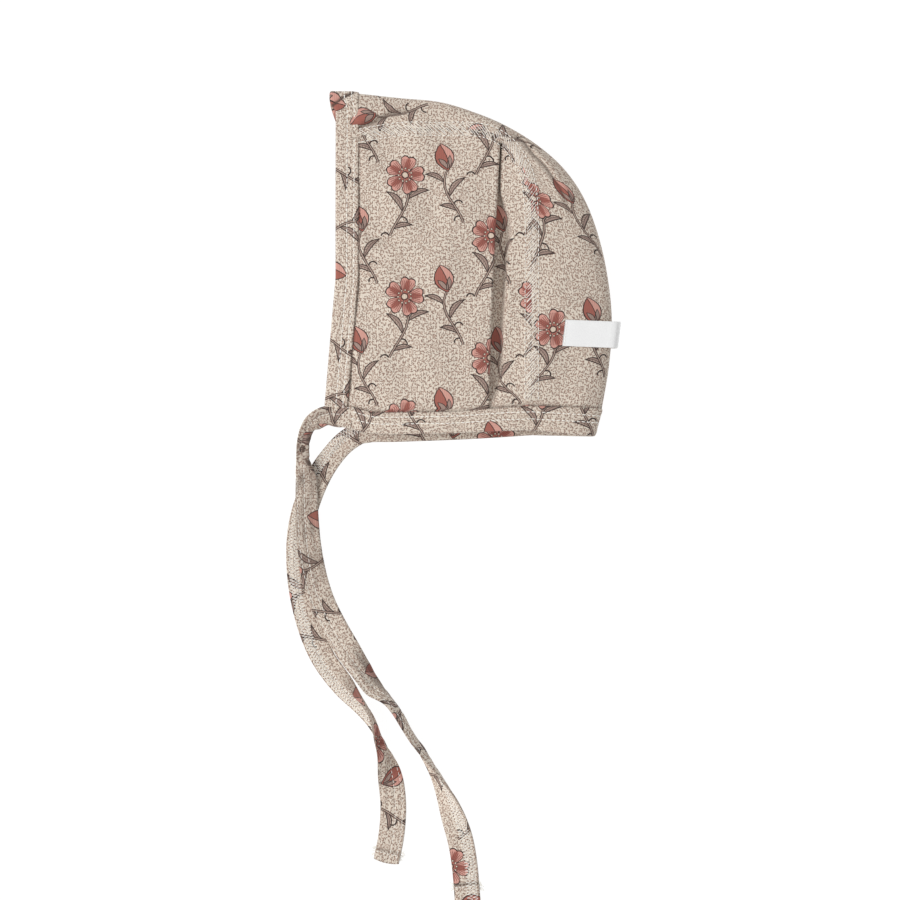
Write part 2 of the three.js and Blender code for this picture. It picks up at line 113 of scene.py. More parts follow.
# Knife pleat of a side panel
PLEAT_DEPTH = 0.006
PLEAT_TURN = 0.00095
PLEAT_TOP_Y = 0.059
PLEAT_EDGE_X = (0.0073, 0.0131)
PLEAT_EDGE_EASE = 1.35
FLAT_PLEAT_WIDTH = 0.004
# The valley beside the fold's edge: y, its distance from the edge, its far slope's width, and its depth
VALLEY_ROWS = (
    (-0.066, 0.0016, 0.0030, 0.0008),
    (-0.050, 0.0048, 0.0030, 0.0020),
    (-0.030, 0.0050, 0.0020, 0.0030),
    (-0.010, 0.0056, 0.0017, 0.0034),
    (0.003, 0.0056, 0.0017, 0.0034),
    (0.012, 0.0062, 0.0024, 0.0032),
    (0.022, 0.0050, 0.0040, 0.0026),
    (0.034, 0.0014, 0.0012, 0.0016),
    (0.045, 0.0009, 0.0009, 0.0016),
    (0.060, 0.0008, 0.0009, 0.0012),
)
VALLEY_STEP = 0.42
# Darkness of the painted shade along the bottom of the valley
VALLEY_SHADE = 0.34

# Grid of a side panel: its rows, and shares along its front, the pleat's folds, its layer and the rear
PANEL_ROWS = 200
PANEL_FRONT = np.linspace(0, 1, 90)[None, :-1]
PANEL_BEND = np.linspace(0, math.pi, 12)[None, :-1]
PANEL_UNDER = np.linspace(0, 1, 9)[None, :-1]
PANEL_REAR = np.linspace(0, 1, 46)[None, :]

# Soft folds of the near side: points in plan, half width, depth, how the depth and the shade fade along it,
# and the darkness of the painted shade in them
CREASES = (
    (((0.0155, 0.0650), (0.0236, 0.0593), (0.0289, 0.0527), (0.0347, 0.0469), (0.0417, 0.0364),
      (0.0448, 0.0292), (0.0515, 0.0078)), 0.0010, 0.0009, (0.0, 0.15, 0.45, 0.9), 0.60),
    (((-0.0560, 0.0650), (-0.0535, 0.0664), (-0.0455, 0.0694), (-0.0388, 0.0727), (-0.0205, 0.0760)),
     0.0013, 0.0020, (-0.2, -0.1, 0.45, 1.0), 0.62),
    (((-0.0540, 0.0135), (-0.0282, 0.0080)), 0.0022, 0.0008, (0.0, 0.2, 0.4, 1.0), 0.16),
    (((-0.0540, 0.0050), (-0.0300, 0.0142)), 0.0020, 0.0006, (0.0, 0.2, 0.4, 1.0), 0.0),
)

# Far side
FAR_SHIFT = (0.006, 0.040, 0.112)
FAR_FLARE = (0.003, 0.068, 0.080)

# Centre strip, from the face to the neck: x, y and z of its fold, x and y of its seam, drop of the far seam
STRIP_ROWS = (
    (-0.0537, 0.0821, 0.0065, -0.0537, 0.0622, 0),
    (-0.0349, 0.0800, 0.0075, -0.0349, 0.0652, 0),
    (-0.0157, 0.0780, 0.0085, -0.0157, 0.0652, 0),
    (0.0009, 0.0730, 0.0090, -0.0013, 0.0652, 0),
    (0.0158, 0.0666, 0.0095, 0.0092, 0.0630, 0),
    (0.0302, 0.0577, 0.0100, 0.0174, 0.0574, 0),
    (0.0427, 0.0467, 0.0105, 0.0231, 0.0493, 0),
    (0.0523, 0.0330, 0.0105, 0.0266, 0.0389, 0),
    (0.0591, 0.0160, 0.0105, 0.0280, 0.0222, 0),
    (0.0638, -0.0041, 0.0105, 0.0280, -0.0018, 0),
    (0.0660, -0.0256, 0.0105, 0.0280, -0.0258, 0),
    (0.0647, -0.0475, 0.0100, 0.0280, -0.0474, 0.0012),
    (0.0611, -0.0690, 0.0090, 0.0280, -0.0668, 0.0018),
)
STRIP_END_Y = STRIP_ROWS[-1][4]
PANEL_TOP = 9 / 36
NECK_BLEND_TOP_Y = -0.020
STRIP_STATIONS = 270
STRIP_TURNS = 96
# How far the strip runs on under the face binding, and how far its hidden edges sink
STRIP_LEAD = 0.0052
STRIP_SINK = 0.0006

# Neck band: x, y and width of its middle line
NECK_NEAR_ROWS = (
    (-0.0589, -0.0723, 0.0108),
    (-0.0469, -0.0750, 0.0108),
    (-0.0253, -0.0750, 0.0108),
    (-0.0061, -0.0746, 0.0108),
    (0.0131, -0.0733, 0.0115),
    (0.0282, -0.0728, 0.0120),
)
NECK_FOLD_ROW = (0.0594, -0.0746, 0.0140)
NECK_FOLD_Z = 0.0085
NECK_FOLD_LEAN = math.radians(15)
# Distance from the neck band's middle line to the edge that its stitch rows are measured from
NECK_ROW_EDGE = 0.0054
NECK_FAR_ROWS = (
    (0.0282, -0.0750, 0.0118),
    (-0.0013, -0.0770, 0.0115),
    (-0.0349, -0.0783, 0.0115),
    (-0.0445, -0.0784, 0.0115),
    (-0.0504, -0.0788, 0.0110),
)

# Ties: x, y, lift of the lowest edge over the surface, roll about the route in degrees, and visible width
TIE_NEAR_ROWS = (
    (-0.0578, -0.0725, 0.0086, 0, 0.0108),
    (-0.0604, -0.0721, 0.0084, 0, 0.0106),
    (-0.0650, -0.0716, 0.0083, 0, 0.0098),
    (-0.0696, -0.0713, 0.0081, 0, 0.0092),
    (-0.0740, -0.0726, 0.0075, 0, 0.0082),
    (-0.0773, -0.0749, 0.0067, 0, 0.0072),
    (-0.0793, -0.0777, 0.0059, 0, 0.0064),
    (-0.0805, -0.0808, 0.0051, 0, 0.0060),
    (-0.0815, -0.0860, 0.0043, 0, 0.0058),
    (-0.0815, -0.0928, 0.0034, 0, 0.0062),
    (-0.0808, -0.0976, 0.0032, 0, 0.0082),
    (-0.0800, -0.1024, 0.0028, 0, 0.0098),
    (-0.0797, -0.1080, 0.0025, 0, 0.0106),
    (-0.0796, -0.1144, 0.0024, 0, 0.0108),
    (-0.0792, -0.1230, 0.0023, 0, 0.0110),
    (-0.0786, -0.1320, 0.0023, 0, 0.0114),
    (-0.0774, -0.1415, 0.0024, 0, 0.0120),
    (-0.0756, -0.1505, 0.0024, 0, 0.0124),
    (-0.0726, -0.1600, 0.0024, 0, 0.0124),
    (-0.0684, -0.1690, 0.0024, 0, 0.0124),
    (-0.0619, -0.1806, 0.0028, 0, 0.0124),
    (-0.0536, -0.1936, 0.0029, -38, 0.0122),
    (-0.0476, -0.2022, 0.0005, -42, 0.0120),
    (-0.0416, -0.2084, 0.0000, -80, 0.0118),
    (-0.0357, -0.2168, 0.0000, -82, 0.0118),
    (-0.0298, -0.2272, 0.0000, -86, 0.0120),
    (-0.0234, -0.2368, 0.0000, -95, 0.0120),
    (-0.0172, -0.2464, 0.0000, -112, 0.0122),
    (-0.0124, -0.2560, 0.0000, -136, 0.0124),
    (-0.0088, -0.2656, 0.0000, -162, 0.0124),
    (-0.0059, -0.2752, 0.0000, -176, 0.0124),
    (-0.0042, -0.2848, 0.0000, -180, 0.0124),
    (-0.0032, -0.2944, 0.0000, -180, 0.0124),
    (-0.0023, -0.3064, 0.0000, -180, 0.0124),
)
TIE_FAR_ROWS = (
    (-0.0492, -0.0788, 0.0004, 0, 0.0110),
    (-0.0513, -0.0791, 0.0004, 0, 0.0112),
    (-0.0542, -0.0796, 0.0003, 0, 0.0110),
    (-0.0580, -0.0818, 0.0002, 0, 0.0108),
    (-0.0626, -0.0853, 0.0000, 0, 0.0108),
    (-0.0669, -0.0902, 0.0000, 0, 0.0108),
    (-0.0709, -0.0956, 0.0000, 0, 0.0112),
    (-0.0745, -0.1018, 0.0000, 0, 0.0116),
    (-0.0778, -0.1090, 0.0000, 0, 0.0120),
    (-0.0806, -0.1170, 0.0000, 0, 0.0124),
    (-0.0825, -0.1254, 0.0000, 0, 0.0124),
    (-0.0833, -0.1336, 0.0000, 0, 0.0124),
    (-0.0833, -0.1417, 0.0000, 0, 0.0124),
    (-0.0827, -0.1504, 0.0000, 0, 0.0124),
    (-0.0812, -0.1600, 0.0000, 0, 0.0124),
    (-0.0788, -0.1696, 0.0000, 0, 0.0124),
    (-0.0757, -0.1792, 0.0000, 0, 0.0121),
    (-0.0713, -0.1888, 0.0000, 0, 0.0114),
    (-0.0642, -0.1984, 0.0000, 14, 0.0118),
    (-0.0567, -0.2080, 0.0000, 48, 0.0120),
    (-0.0502, -0.2176, 0.0000, 72, 0.0120),
    (-0.0469, -0.2260, 0.0000, 92, 0.0120),
    (-0.0431, -0.2340, 0.0000, 118, 0.0122),
    (-0.0396, -0.2450, 0.0000, 164, 0.0124),
    (-0.0382, -0.2560, 0.0000, 178, 0.0124),
    (-0.0383, -0.2656, 0.0000, 180, 0.0124),
    (-0.0394, -0.2752, 0.0000, 180, 0.0124),
    (-0.0415, -0.2852, 0.0000, 180, 0.0124),
)

# Where a tie is gathered lengthways: start, full, fading and end along it, and depth
TIE_NEAR_GATHERS = ((0.004, 0.012, 0.040, 0.052, 0.00045), (0.120, 0.145, 0.190, 0.215, 0.00035))
TIE_FAR_GATHERS = ((0.001, 0.006, 0.012, 0.030, 0.00020), (0.120, 0.145, 0.175, 0.195, 0.00035))
# Creases of the near tie where it bends and opens again: points in plan, half width, depth and the darkness
# of the painted shade in them
TIE_NEAR_CREASES = (
    (((-0.0733, -0.0726), (-0.0776, -0.0774), (-0.0797, -0.0822), (-0.0812, -0.0858), (-0.0813, -0.0918)),
     0.00055, 0.0007, 0.75),
    (((-0.0757, -0.0788), (-0.0784, -0.0830), (-0.0793, -0.0876)), 0.00080, 0.0006, 0.60),
    (((-0.0816, -0.0915), (-0.0802, -0.0930), (-0.0786, -0.0948)), 0.00080, 0.0010, 1.0),
    (((-0.0796, -0.0922), (-0.0786, -0.0950)), 0.00070, 0.0009, 0.9),
    (((-0.0793, -0.0868), (-0.0791, -0.0886)), 0.00070, 0.0005, 1.0),
    (((-0.0192, -0.2440), (-0.0166, -0.2505), (-0.0155, -0.2560)), 0.00060, 0.0003, 0.7),
)
TIE_NEAR_HEM = 0.0104
TIE_FAR_HEM = 0.0052
# Distances of a tie's stitch rows and looped threads from its closed edge
TIE_STITCH_ROWS = (0.0018, 0.0052)
TIE_STITCH_RADIUS = 0.00014
LOOP_ROWS = (0.0011, 0.0036, 0.0062)
LOOP_PITCH = 0.0014
LOOP_RADIUS = 0.00013
# How far the middle of a tie's hem stands out past its corners
TIE_BULGE = 0.0009
# Flat width of a tie where it is folded over lengthways, and the hollow of its middle where it stands up
TIE_FOLDED_WIDTH = 0.0104
TIE_CUP = 0.0026
TIE_STEPS_PER_ROW = 9

# Label
LABEL_MIDDLE_Y = (-0.0322, -0.0331)
LABEL_NEAR_X = 0.0432
LABEL_TIP_X = 0.0694
LABEL_FAR_X = 0.056
LABEL_LEAN = 0.125
LABEL_WIDTH = 0.0126
LABEL_THICKNESS = 0.00045
LABEL_STRIP_ROW = 10
# The label's height over the strip, how far it leaves it before the fold, and its rise and drops there
LABEL_LIFT = 0.0009
LABEL_SHOULDER = 0.0014
LABEL_RISE = 0.0034
LABEL_DROPS = (0.0021, 0.0012)
LABEL_TIP_SPARE = 0.0004
LABEL_TIP_ROUND = 0.45

# Stitches
STITCH_RADIUS = 0.00024
STITCH_PITCH = 0.0024
STITCH_LENGTH = 0.0019
STITCH_ROWS = (0.0022, 0.0056)
# Where a row of stitches starts and stops, from a tape's ends
STITCH_END = 0.001
NEEDLE_PITCH = 0.0017
SEAM_HALF_WIDTH = 0.003
SEAM_THREAD_PITCH = 0.00155
SEAM_THREAD_RISE = 0.0068
SEAM_THREAD_RADIUS = 0.00014
SEAM_ROW_PITCH = 0.0022
SEAM_ROW_LENGTH = 0.0016
# How far the seam is followed on under the face binding
SEAM_LEAD = 0.006
THREAD_SIDES = 6
# Where the seam gapes a little under its threads, in plan; painted shade darkens these slots
SEAM_SLOTS = (((-0.0004, 0.0627), (0.0066, 0.0624)), ((0.0087, 0.0618), (0.0128, 0.0574)))

# Width and height of the print's repeat, and pitch of the knit's ribs and rows, in millimetres
PRINT_CELL = (41.0, 58.0)
WALE_PITCH = 1.0
COURSE_PITCH = 0.7

# Photograph: metres for each pixel, and the pixel over the origin
METRES_PER_PIXEL = 0.00048
ORIGIN_PIXEL = (472.75, 266.75)
FRAME_PIXELS = 900
# Camera: lens and sensor in millimetres
CAMERA_LENS = 200
SENSOR_WIDTH = 36

# Light and floor
WORLD_STRENGTH = 0.53
KEY_STRENGTH = 2.1
KEY_SPREAD = math.radians(36)
KEY_TURN = (math.radians(2), math.radians(-42), 0)
FLOOR_REACH = 6.0


def smooth(value, low, high):
    """0 at low and 1 at high, with a soft start and end. low may be the greater."""
    part = np.clip((value - low) / (high - low), 0, 1)
    return part * part * (3 - 2 * part)


def mix(a, b, part):
    return a + (b - a) * part


def sample(rows, t):
    """A smooth curve through the rows, at t from 0 to 1."""
    rows = np.asarray(rows, float)
    scaled = np.clip(np.asarray(t, float), 0, 1) * (len(rows) - 1)
    index = np.minimum(scaled.astype(int), len(rows) - 2)
    part = (scaled - index)[..., None]
    a, b, c, d = (rows[np.clip(index + step, 0, len(rows) - 1)] for step in (-1, 0, 1, 2))
    bend = (2 * a - 5 * b + 4 * c - d) * part + (3 * b - 3 * c + d - a) * part**2
    return b + 0.5 * part * (c - a + bend)


def bell(away, half_width):
    """1 in the middle of a groove or a ridge, fading to nearly 0 at twice its half width."""
    return np.exp(-((away / half_width) ** 2))


def beat(along, pitch, sway, sway_length, start=0.0):
    """A wave of that pitch along a row of stitches, a little early and a little late by turns."""
    return np.sin(2 * math.pi * along / pitch + sway * np.sin(along / sway_length + start))


def needle_beat(along):
    """1 at the needle holes of a row of stitches, -1 between them."""
    return beat(along, NEEDLE_PITCH, 1.7, 0.0023)


def run_lengths(points):
    """Distance of each point from the first of its line, followed along the line."""
    steps = np.linalg.norm(np.diff(points, axis=-2), axis=-1)
    return np.concatenate([np.zeros((*steps.shape[:-1], 1)), np.cumsum(steps, axis=-1)], axis=-1)


def smoothed(values, kernel=np.hanning(13), **padding):
    """The values with their small steps evened out."""
    padded = np.pad(values, len(kernel) // 2, **padding)
    return np.convolve(padded, kernel / kernel.sum(), mode="valid")


def corners(grid):
    """The four corners of every cell of a grid, in turn."""
    return grid[:-1, :-1], grid[:-1, 1:], grid[1:, 1:], grid[1:, :-1]


def unit(vectors):
    return vectors / np.maximum(np.linalg.norm(vectors, axis=-1, keepdims=True), 1e-12)


def waves(x, y, length, seed):
    """Gentle unevenness between about -1 and 1: a few plane waves of nearly one length."""
    rng = np.random.default_rng(seed)
    total = np.zeros(np.broadcast(x, y).shape)
    count = 7
    for _ in range(count):
        turn = rng.uniform(0, 2 * math.pi)
        size = 2 * math.pi / (length * rng.uniform(0.7, 1.4))
        total += np.sin(size * (x * math.cos(turn) + y * math.sin(turn)) + rng.uniform(0, 2 * math.pi))
    return total / math.sqrt(count)


def line_distance(x, y, points):
    """Distance of each place to a line of points in plan, and how far along the line it is, from 0 to 1."""
    best = np.full(np.broadcast(x, y).shape, 1e9)
    along = np.zeros(best.shape)
    lengths = [math.dist(a, b) for a, b in zip(points, points[1:])]
    total, done = sum(lengths), 0.0
    for (ax, ay), (bx, by), length in zip(points, points[1:], lengths):
        part = np.clip(((x - ax) * (bx - ax) + (y - ay) * (by - ay)) / length**2, 0, 1)
        away = np.hypot(x - mix(ax, bx, part), y - mix(ay, by, part))
        along = np.where(away < best, (done + part * length) / total, along)
        best = np.minimum(best, away)
        done += length
    return best, along


# Shape of the bonnet

def through(t, heights):
    """A smooth line through three heights, at t = 0, 0.5 and 1."""
    low, middle, high = heights
    return low * (1 - t) * (1 - 2 * t) + middle * 4 * t * (1 - t) + high * t * (2 * t - 1)


def face_outer_x(y):
    """The outer edge of the face binding, which flares forward on its way down to the neck."""
    return FACE_EDGE_X - FACE_FLARE * np.clip((FACE_FLARE_TOP_Y - y) / FACE_FLARE_LENGTH, 0, 1)


def near_height(x, y):
    """Height of the near side's cloth over the surface, without its folds."""
    across = np.clip((x - face_outer_x(y)) / (SEAM_BACK_X - face_outer_x(y)), 0, 1)
    along = np.clip((y - NECK_Y) / (SEAM_TOP_Y - NECK_Y), 0, 1)
    arch = np.sin(math.pi * across)
    dome = DOME_HEIGHT * arch * np.sin(math.pi * along)
    neck_arch = NECK_ARCH_HEIGHT * arch * (1 - smooth(along, 0, NECK_ARCH_REACH))
    return mix(through(along, FACE_HEIGHTS), through(along, BACK_HEIGHTS), across) + dome + neck_arch


def fold_point(turn):
    """How far in and how far up a fold's section is. turn is 0 at its edge, 1 and -1 at its sides."""
    angle = np.abs(turn) * math.pi / 2
    inward = 1 - np.maximum(np.cos(angle), 0) ** (2 / FOLD_BLEND)
    rise = np.sin(angle) ** (2 / FOLD_BLEND)
    return inward, rise


def fold_height(turn, fold_z, near_z, far_z):
    """Height round a fold, from the near side at turn 1 to the far side at -1."""
    _, rise = fold_point(turn)
    return np.where(turn >= 0, mix(fold_z, near_z, rise), mix(fold_z, far_z, rise))


def neck_edge_y(rows, x):
    """The edge of the neck binding that meets the cloth."""
    ordered = np.array(sorted(rows))
    return np.interp(x, ordered[:, 0], ordered[:, 1] + ordered[:, 2] / 2)


def far_band_x(y):
    """The middle line of the far side's face binding."""
    flare = FAR_FLARE[0] * smooth(y, FAR_FLARE[1], FAR_FLARE[2])
    shift = FAR_SHIFT[0] * np.clip((FAR_SHIFT[1] - y) / FAR_SHIFT[2], 0, 1)
    return FACE_EDGE_X + FACE_BAND_WIDTH / 2 + shift - flare


def seam_line(far):
    """Points along the seam between a side panel and the strip, and their distances along it."""
    rows = sample(STRIP_ROWS, np.linspace(0, 1, 500))
    line = rows[:, 3:5].copy()
    if far:
        line[:, 1] -= rows[:, 5]
    lead = unit(line[0] - line[4]) * SEAM_LEAD
    line = np.concatenate([line[:1] + np.linspace(1, 0, 8)[:-1, None] * lead, line])
    return line, run_lengths(line)


SEAM_LINES = {far: seam_line(far) for far in (False, True)}


def seam_place(x, y, far):
    """Distance of each place to the seam's middle line, and how far along the seam it is."""
    line, along = SEAM_LINES[far]
    flat_x, flat_y = np.ravel(x), np.ravel(y)
    away = np.empty(flat_x.shape)
    place = np.empty(flat_x.shape)
    batch = 4000
    for start in range(0, len(flat_x), batch):
        part = slice(start, start + batch)
        gaps = np.hypot(flat_x[part, None] - line[:, 0], flat_y[part, None] - line[:, 1])
        nearest = gaps.argmin(1)
        away[part] = gaps[np.arange(len(nearest)), nearest]
        place[part] = along[nearest]
    return away.reshape(x.shape), place.reshape(x.shape)


def seam_shade(away):
    """How far the cloth under the seam's threads is in their shade."""
    return 0.05 * (1 - smooth(away, SEAM_HALF_WIDTH - 0.0003, SEAM_HALF_WIDTH + 0.0004))


def beside_bindings(x, y, neck_rows):
    """How far each place is from the face binding and how far along it, then the same of the neck binding."""
    yield x - (face_outer_x(y) + FACE_BAND_WIDTH), y
    yield y - neck_edge_y(neck_rows, x), x


def near_panel_shade(x, y, away):
    """Painted shade in the seam's slots by the pleat's top, in the needle holes beside the bindings, under
    the seam's threads and in the creases.
    """
    shade = seam_shade(away)
    for points in SEAM_SLOTS:
        slot, _ = line_distance(x, y, points)
        gapes = 0.55 + 0.45 * np.sin(2 * math.pi * (x - y) / 0.0021)
        shade = np.maximum(shade, 0.95 * gapes * (1 - smooth(slot, 0.0004, 0.0011)))
    for beside, along in beside_bindings(x, y, NECK_NEAR_ROWS):
        holes = 0.5 + 0.5 * needle_beat(along)
        shade = np.maximum(shade, (0.05 + 0.75 * holes) * bell(beside, 0.0006))
    return np.maximum(shade, crease_shade(x, y))


def seam_relief(away, place):
    """The seam's raised band and the small puckers that its stitches draw in."""
    ridge = 0.0003 * (1 - smooth(away, 0.0024, 0.0034))
    pucker = 0.00016 * beat(place, 0.0052, 1.3, 0.006) * np.exp(-np.maximum(away - 0.0026, 0) / 0.0024)
    return ridge + pucker


def crease_strengths(x, y):
    """For each soft fold: distance to it, its strength there, half width, depth and the darkness of its
    painted shade.
    """
    for points, half_width, depth, (start, full, fading, end), darkness in CREASES:
        away, along = line_distance(x, y, points)
        yield away, smooth(along, start, full) * (1 - smooth(along, fading, end)), half_width, depth, darkness


def crease_relief(x, y):
    total = np.zeros(np.broadcast(x, y).shape)
    for away, strength, half_width, depth, _ in crease_strengths(x, y):
        ridge = 0.45 * bell(away - 2.2 * half_width, half_width)
        total += depth * strength * (ridge - bell(away, half_width))
    return total


def crease_shade(x, y):
    total = np.zeros(np.broadcast(x, y).shape)
    for away, strength, half_width, _, darkness in crease_strengths(x, y):
        total = np.maximum(total, darkness * strength * bell(away, 0.75 * half_width))
    return total


def binding_relief(x, y, neck_rows):
    """The dip of the cloth beside the bindings, drawn in at every stitch."""
    total = 0.0
    for away, along in beside_bindings(x, y, neck_rows):
        drawn = 1 + 0.45 * beat(along, STITCH_PITCH, 0.7, 0.005)
        total = total - 0.00055 * drawn * bell(np.maximum(away, 0), 0.0011)
    return total


def near_relief(x, y):
    """What the near side's cloth departs from its even shape by."""
    uneven = 0.00045 * waves(x, y, 0.030, seed=3) + 0.00012 * waves(x, y, 0.011, seed=5)
    return uneven + crease_relief(x, y)


# Meshes

def make_object(name, vertices, faces, material, uv=None, inside=None):
    mesh = bpy.data.meshes.new(name)
    mesh.from_pydata(np.asarray(vertices, np.float32), [], faces)
    if uv is not None:
        loops = np.empty(len(mesh.loops), np.int32)
        mesh.loops.foreach_get("vertex_index", loops)
        layer = mesh.uv_layers.new(name="cloth")
        layer.data.foreach_set("uv", np.asarray(uv, np.float32)[loops].ravel())
    mesh.shade_smooth()
    mesh.materials.append(material)
    mesh.update()
    made = bpy.data.objects.new(name, mesh)
    bpy.context.scene.collection.objects.link(made)
    if inside is not None:
        add_attribute(made, "inside", inside)
    return made


def add_attribute(piece, name, values):
    attribute = piece.data.attributes.new(name, "FLOAT", "POINT")
    attribute.data.foreach_set("value", np.asarray(values, np.float32))


def grid_normals(grid):
    """The direction that each point of a grid looks in."""
    along = np.gradient(grid, axis=0)
    across = np.gradient(grid, axis=1)
    return unit(np.cross(across, along))


def cloth_shell(name, grid, uv, shade, thickness, material, outward):
    """A closed wall of cloth on both sides of a grid of middle points. outward is 1 or -1."""
    rows, columns, _ = grid.shape
    normals = grid_normals(grid) * outward
    outer = grid + normals * thickness / 2
    inner = grid - normals * thickness / 2
    count = rows * columns
    index = np.arange(count).reshape(rows, columns)
    top = np.stack(corners(index), -1).reshape(-1, 4)
    if outward < 0:
        top = top[:, ::-1]
    bottom = top[:, ::-1] + count
    rim = np.concatenate([index[0, :-1], index[:-1, -1], index[-1, :0:-1], index[:0:-1, 0]])
    after = np.roll(rim, -1)
    side = np.stack([after, rim, rim + count, after + count], -1)
    if outward < 0:
        side = side[:, ::-1]
    faces = np.concatenate([top, bottom, side]).tolist()
    vertices = np.concatenate([outer.reshape(-1, 3), inner.reshape(-1, 3)])
    flat = np.concatenate([uv.reshape(-1, 2)] * 2)
    inside = np.repeat([0.0, 1.0], count)
    shell = make_object(name, vertices, faces, material, flat, inside)
    add_attribute(shell, "shade", np.concatenate([shade.ravel(), np.zeros(count)]))
    return shell


def pleat_columns(left, edge, seam_x):
    """x of a panel's columns: the front, the pleat's edge, the layer under it, its back and the rear.
    The columns of the rear are also given by themselves."""
    back = edge - PLEAT_DEPTH
    rear_x = mix(back + PLEAT_TURN, seam_x, PANEL_REAR)
    columns = np.concatenate([
        mix(left, edge - PLEAT_TURN, PANEL_FRONT),
        edge - PLEAT_TURN + PLEAT_TURN * np.sin(PANEL_BEND),
        mix(edge - PLEAT_TURN, back + PLEAT_TURN, PANEL_UNDER),
        back + PLEAT_TURN - PLEAT_TURN * np.sin(PANEL_BEND),
        rear_x,
    ], axis=1)
    return columns, rear_x


def flat_columns(left, edge, seam_x, count):
    """x of the same columns above the pleat's top, where the panel has no layers."""
    flat_edge = np.minimum(edge, seam_x - FLAT_PLEAT_WIDTH) - PLEAT_TURN
    rest = np.linspace(0, 1, count - PANEL_FRONT.size)[None, :]
    return np.concatenate([mix(left, flat_edge, PANEL_FRONT), mix(flat_edge, seam_x, rest)], axis=1)


def valley_shape(seam_x, seam_y, edge, rear_x):
    """The valley behind the pleat's edge: its middle, its depth, how far each column of the rear sags
    into it, and how far it has climbed back."""
    rows_y, rows_away, rows_width, rows_depth = np.array(VALLEY_ROWS).T
    middle = edge + np.interp(seam_y, rows_y, rows_away)
    depth = np.interp(seam_y, rows_y, rows_depth)
    steep = smooth(rear_x, middle, middle + np.interp(seam_y, rows_y, rows_width))
    gentle = np.clip((rear_x - middle) / (seam_x - middle), 0, 1)
    sag = smooth(rear_x, edge - 0.0020, middle + 0.0004) * (1 - steep) * depth
    return middle, depth, sag, VALLEY_STEP * steep + (1 - VALLEY_STEP) * gentle


def pleat_layers(climb):
    """How many turns of the pleat each column lies below the panel's surface."""
    wide = np.ones((len(climb), 1))
    return np.concatenate([
        wide * np.zeros(PANEL_FRONT.shape),
        wide * (1 - np.cos(PANEL_BEND)),
        wide * np.full(PANEL_UNDER.shape, 2),
        wide * (3 - np.cos(PANEL_BEND)),
        4 - 4 * climb,
    ], axis=1)


def panel_grid(near):
    """A side panel: its rows go up the back seam and round its corner, each from the face to the seam."""
    strip = sample(STRIP_ROWS, np.linspace(1, PANEL_TOP, PANEL_ROWS))
    seam_x, seam_y = strip[:, 3:4], strip[:, 4:5]
    band_x = face_outer_x(seam_y) + FACE_BAND_WIDTH if near else far_band_x(seam_y) + FACE_BAND_WIDTH / 2
    left = band_x - CLOTH_TUCK
    rise = np.clip((seam_y - STRIP_END_Y) / (SEAM_TOP_Y - STRIP_END_Y), 0, 1)
    edge = mix(PLEAT_EDGE_X[0], PLEAT_EDGE_X[1], rise**PLEAT_EDGE_EASE)
    folded_x, rear_x = pleat_columns(left, edge, seam_x)
    valley, valley_depth, sag, climb = valley_shape(seam_x, seam_y, edge, rear_x)
    flatness = smooth(seam_y, PLEAT_TOP_Y - 0.002, PLEAT_TOP_Y + 0.001)
    x = mix(folded_x, flat_columns(left, edge, seam_x, folded_x.shape[1]), flatness)
    pressed = mix(0.3, 1, smooth(seam_y, STRIP_END_Y + 0.0005, STRIP_END_Y + 0.012)) * (1 - flatness)
    layers = pleat_layers(climb) * pressed
    neck_rows = NECK_NEAR_ROWS if near else NECK_FAR_ROWS
    blend = 1 - smooth(seam_y, STRIP_END_Y, NECK_BLEND_TOP_Y)
    y = seam_y + blend * (neck_edge_y(neck_rows, x) - CLOTH_TUCK - STRIP_END_Y)
    if near:
        in_front = x.shape[1] - sag.shape[1]
        sag = np.pad(sag, ((0, 0), (in_front, 0)))
        z = near_height(x, y) - layers * PLEAT_TURN - sag * pressed
        z = z + near_relief(x, y) + binding_relief(x, y, neck_rows)
    else:
        z = SOLID_CLOTH_THICKNESS / 2 + layers * PLEAT_TURN
        z = z + 0.0003 * (1 + waves(x, y, 0.028, seed=11)) * smooth(layers, -1, 1)
    grid = np.stack([x, y, z], -1)
    flat = np.stack([run_lengths(grid) + left, y], -1)
    away, place = seam_place(x, y, not near)
    grid[..., 2] += seam_relief(away, place) if near else -0.3 * seam_relief(away, place)
    if not near:
        return grid, flat, seam_shade(away)
    shade = near_panel_shade(x, y, away)
    # Painted shade along the bottom of the valley behind the pleat's edge
    line = VALLEY_SHADE * bell(rear_x - valley - 0.0002, 0.0009) * (1 - flatness)
    line = line * smooth(valley_depth, 0.0010, 0.0026)
    line = line * (0.8 + 0.2 * waves(rear_x, seam_y, 0.006, seed=61))
    rear = slice(-rear_x.shape[1], None)
    shade[:, rear] = np.maximum(shade[:, rear], line)
    return grid, flat, shade


def strip_shade(x, y, turns, stations, away, far_away):
    """Shade of the strip: under its seams, in its creases, at the needle holes and along the crown."""
    beside_neck = y - neck_edge_y((*NECK_NEAR_ROWS, NECK_FOLD_ROW), x)
    holes = (0.55 + 0.25 * needle_beat(x)) * bell(beside_neck, 0.0009)
    folded = (1 - smooth(stations, 0.0, 0.12)) * smooth(y, 0.070, 0.074) * 0.05
    near_shade = np.maximum(np.maximum(crease_shade(x, y), holes), folded)
    near_shade = np.maximum(seam_shade(away), near_shade * smooth(turns, 0, 0.1))
    return np.where(turns > 0, near_shade, seam_shade(far_away))


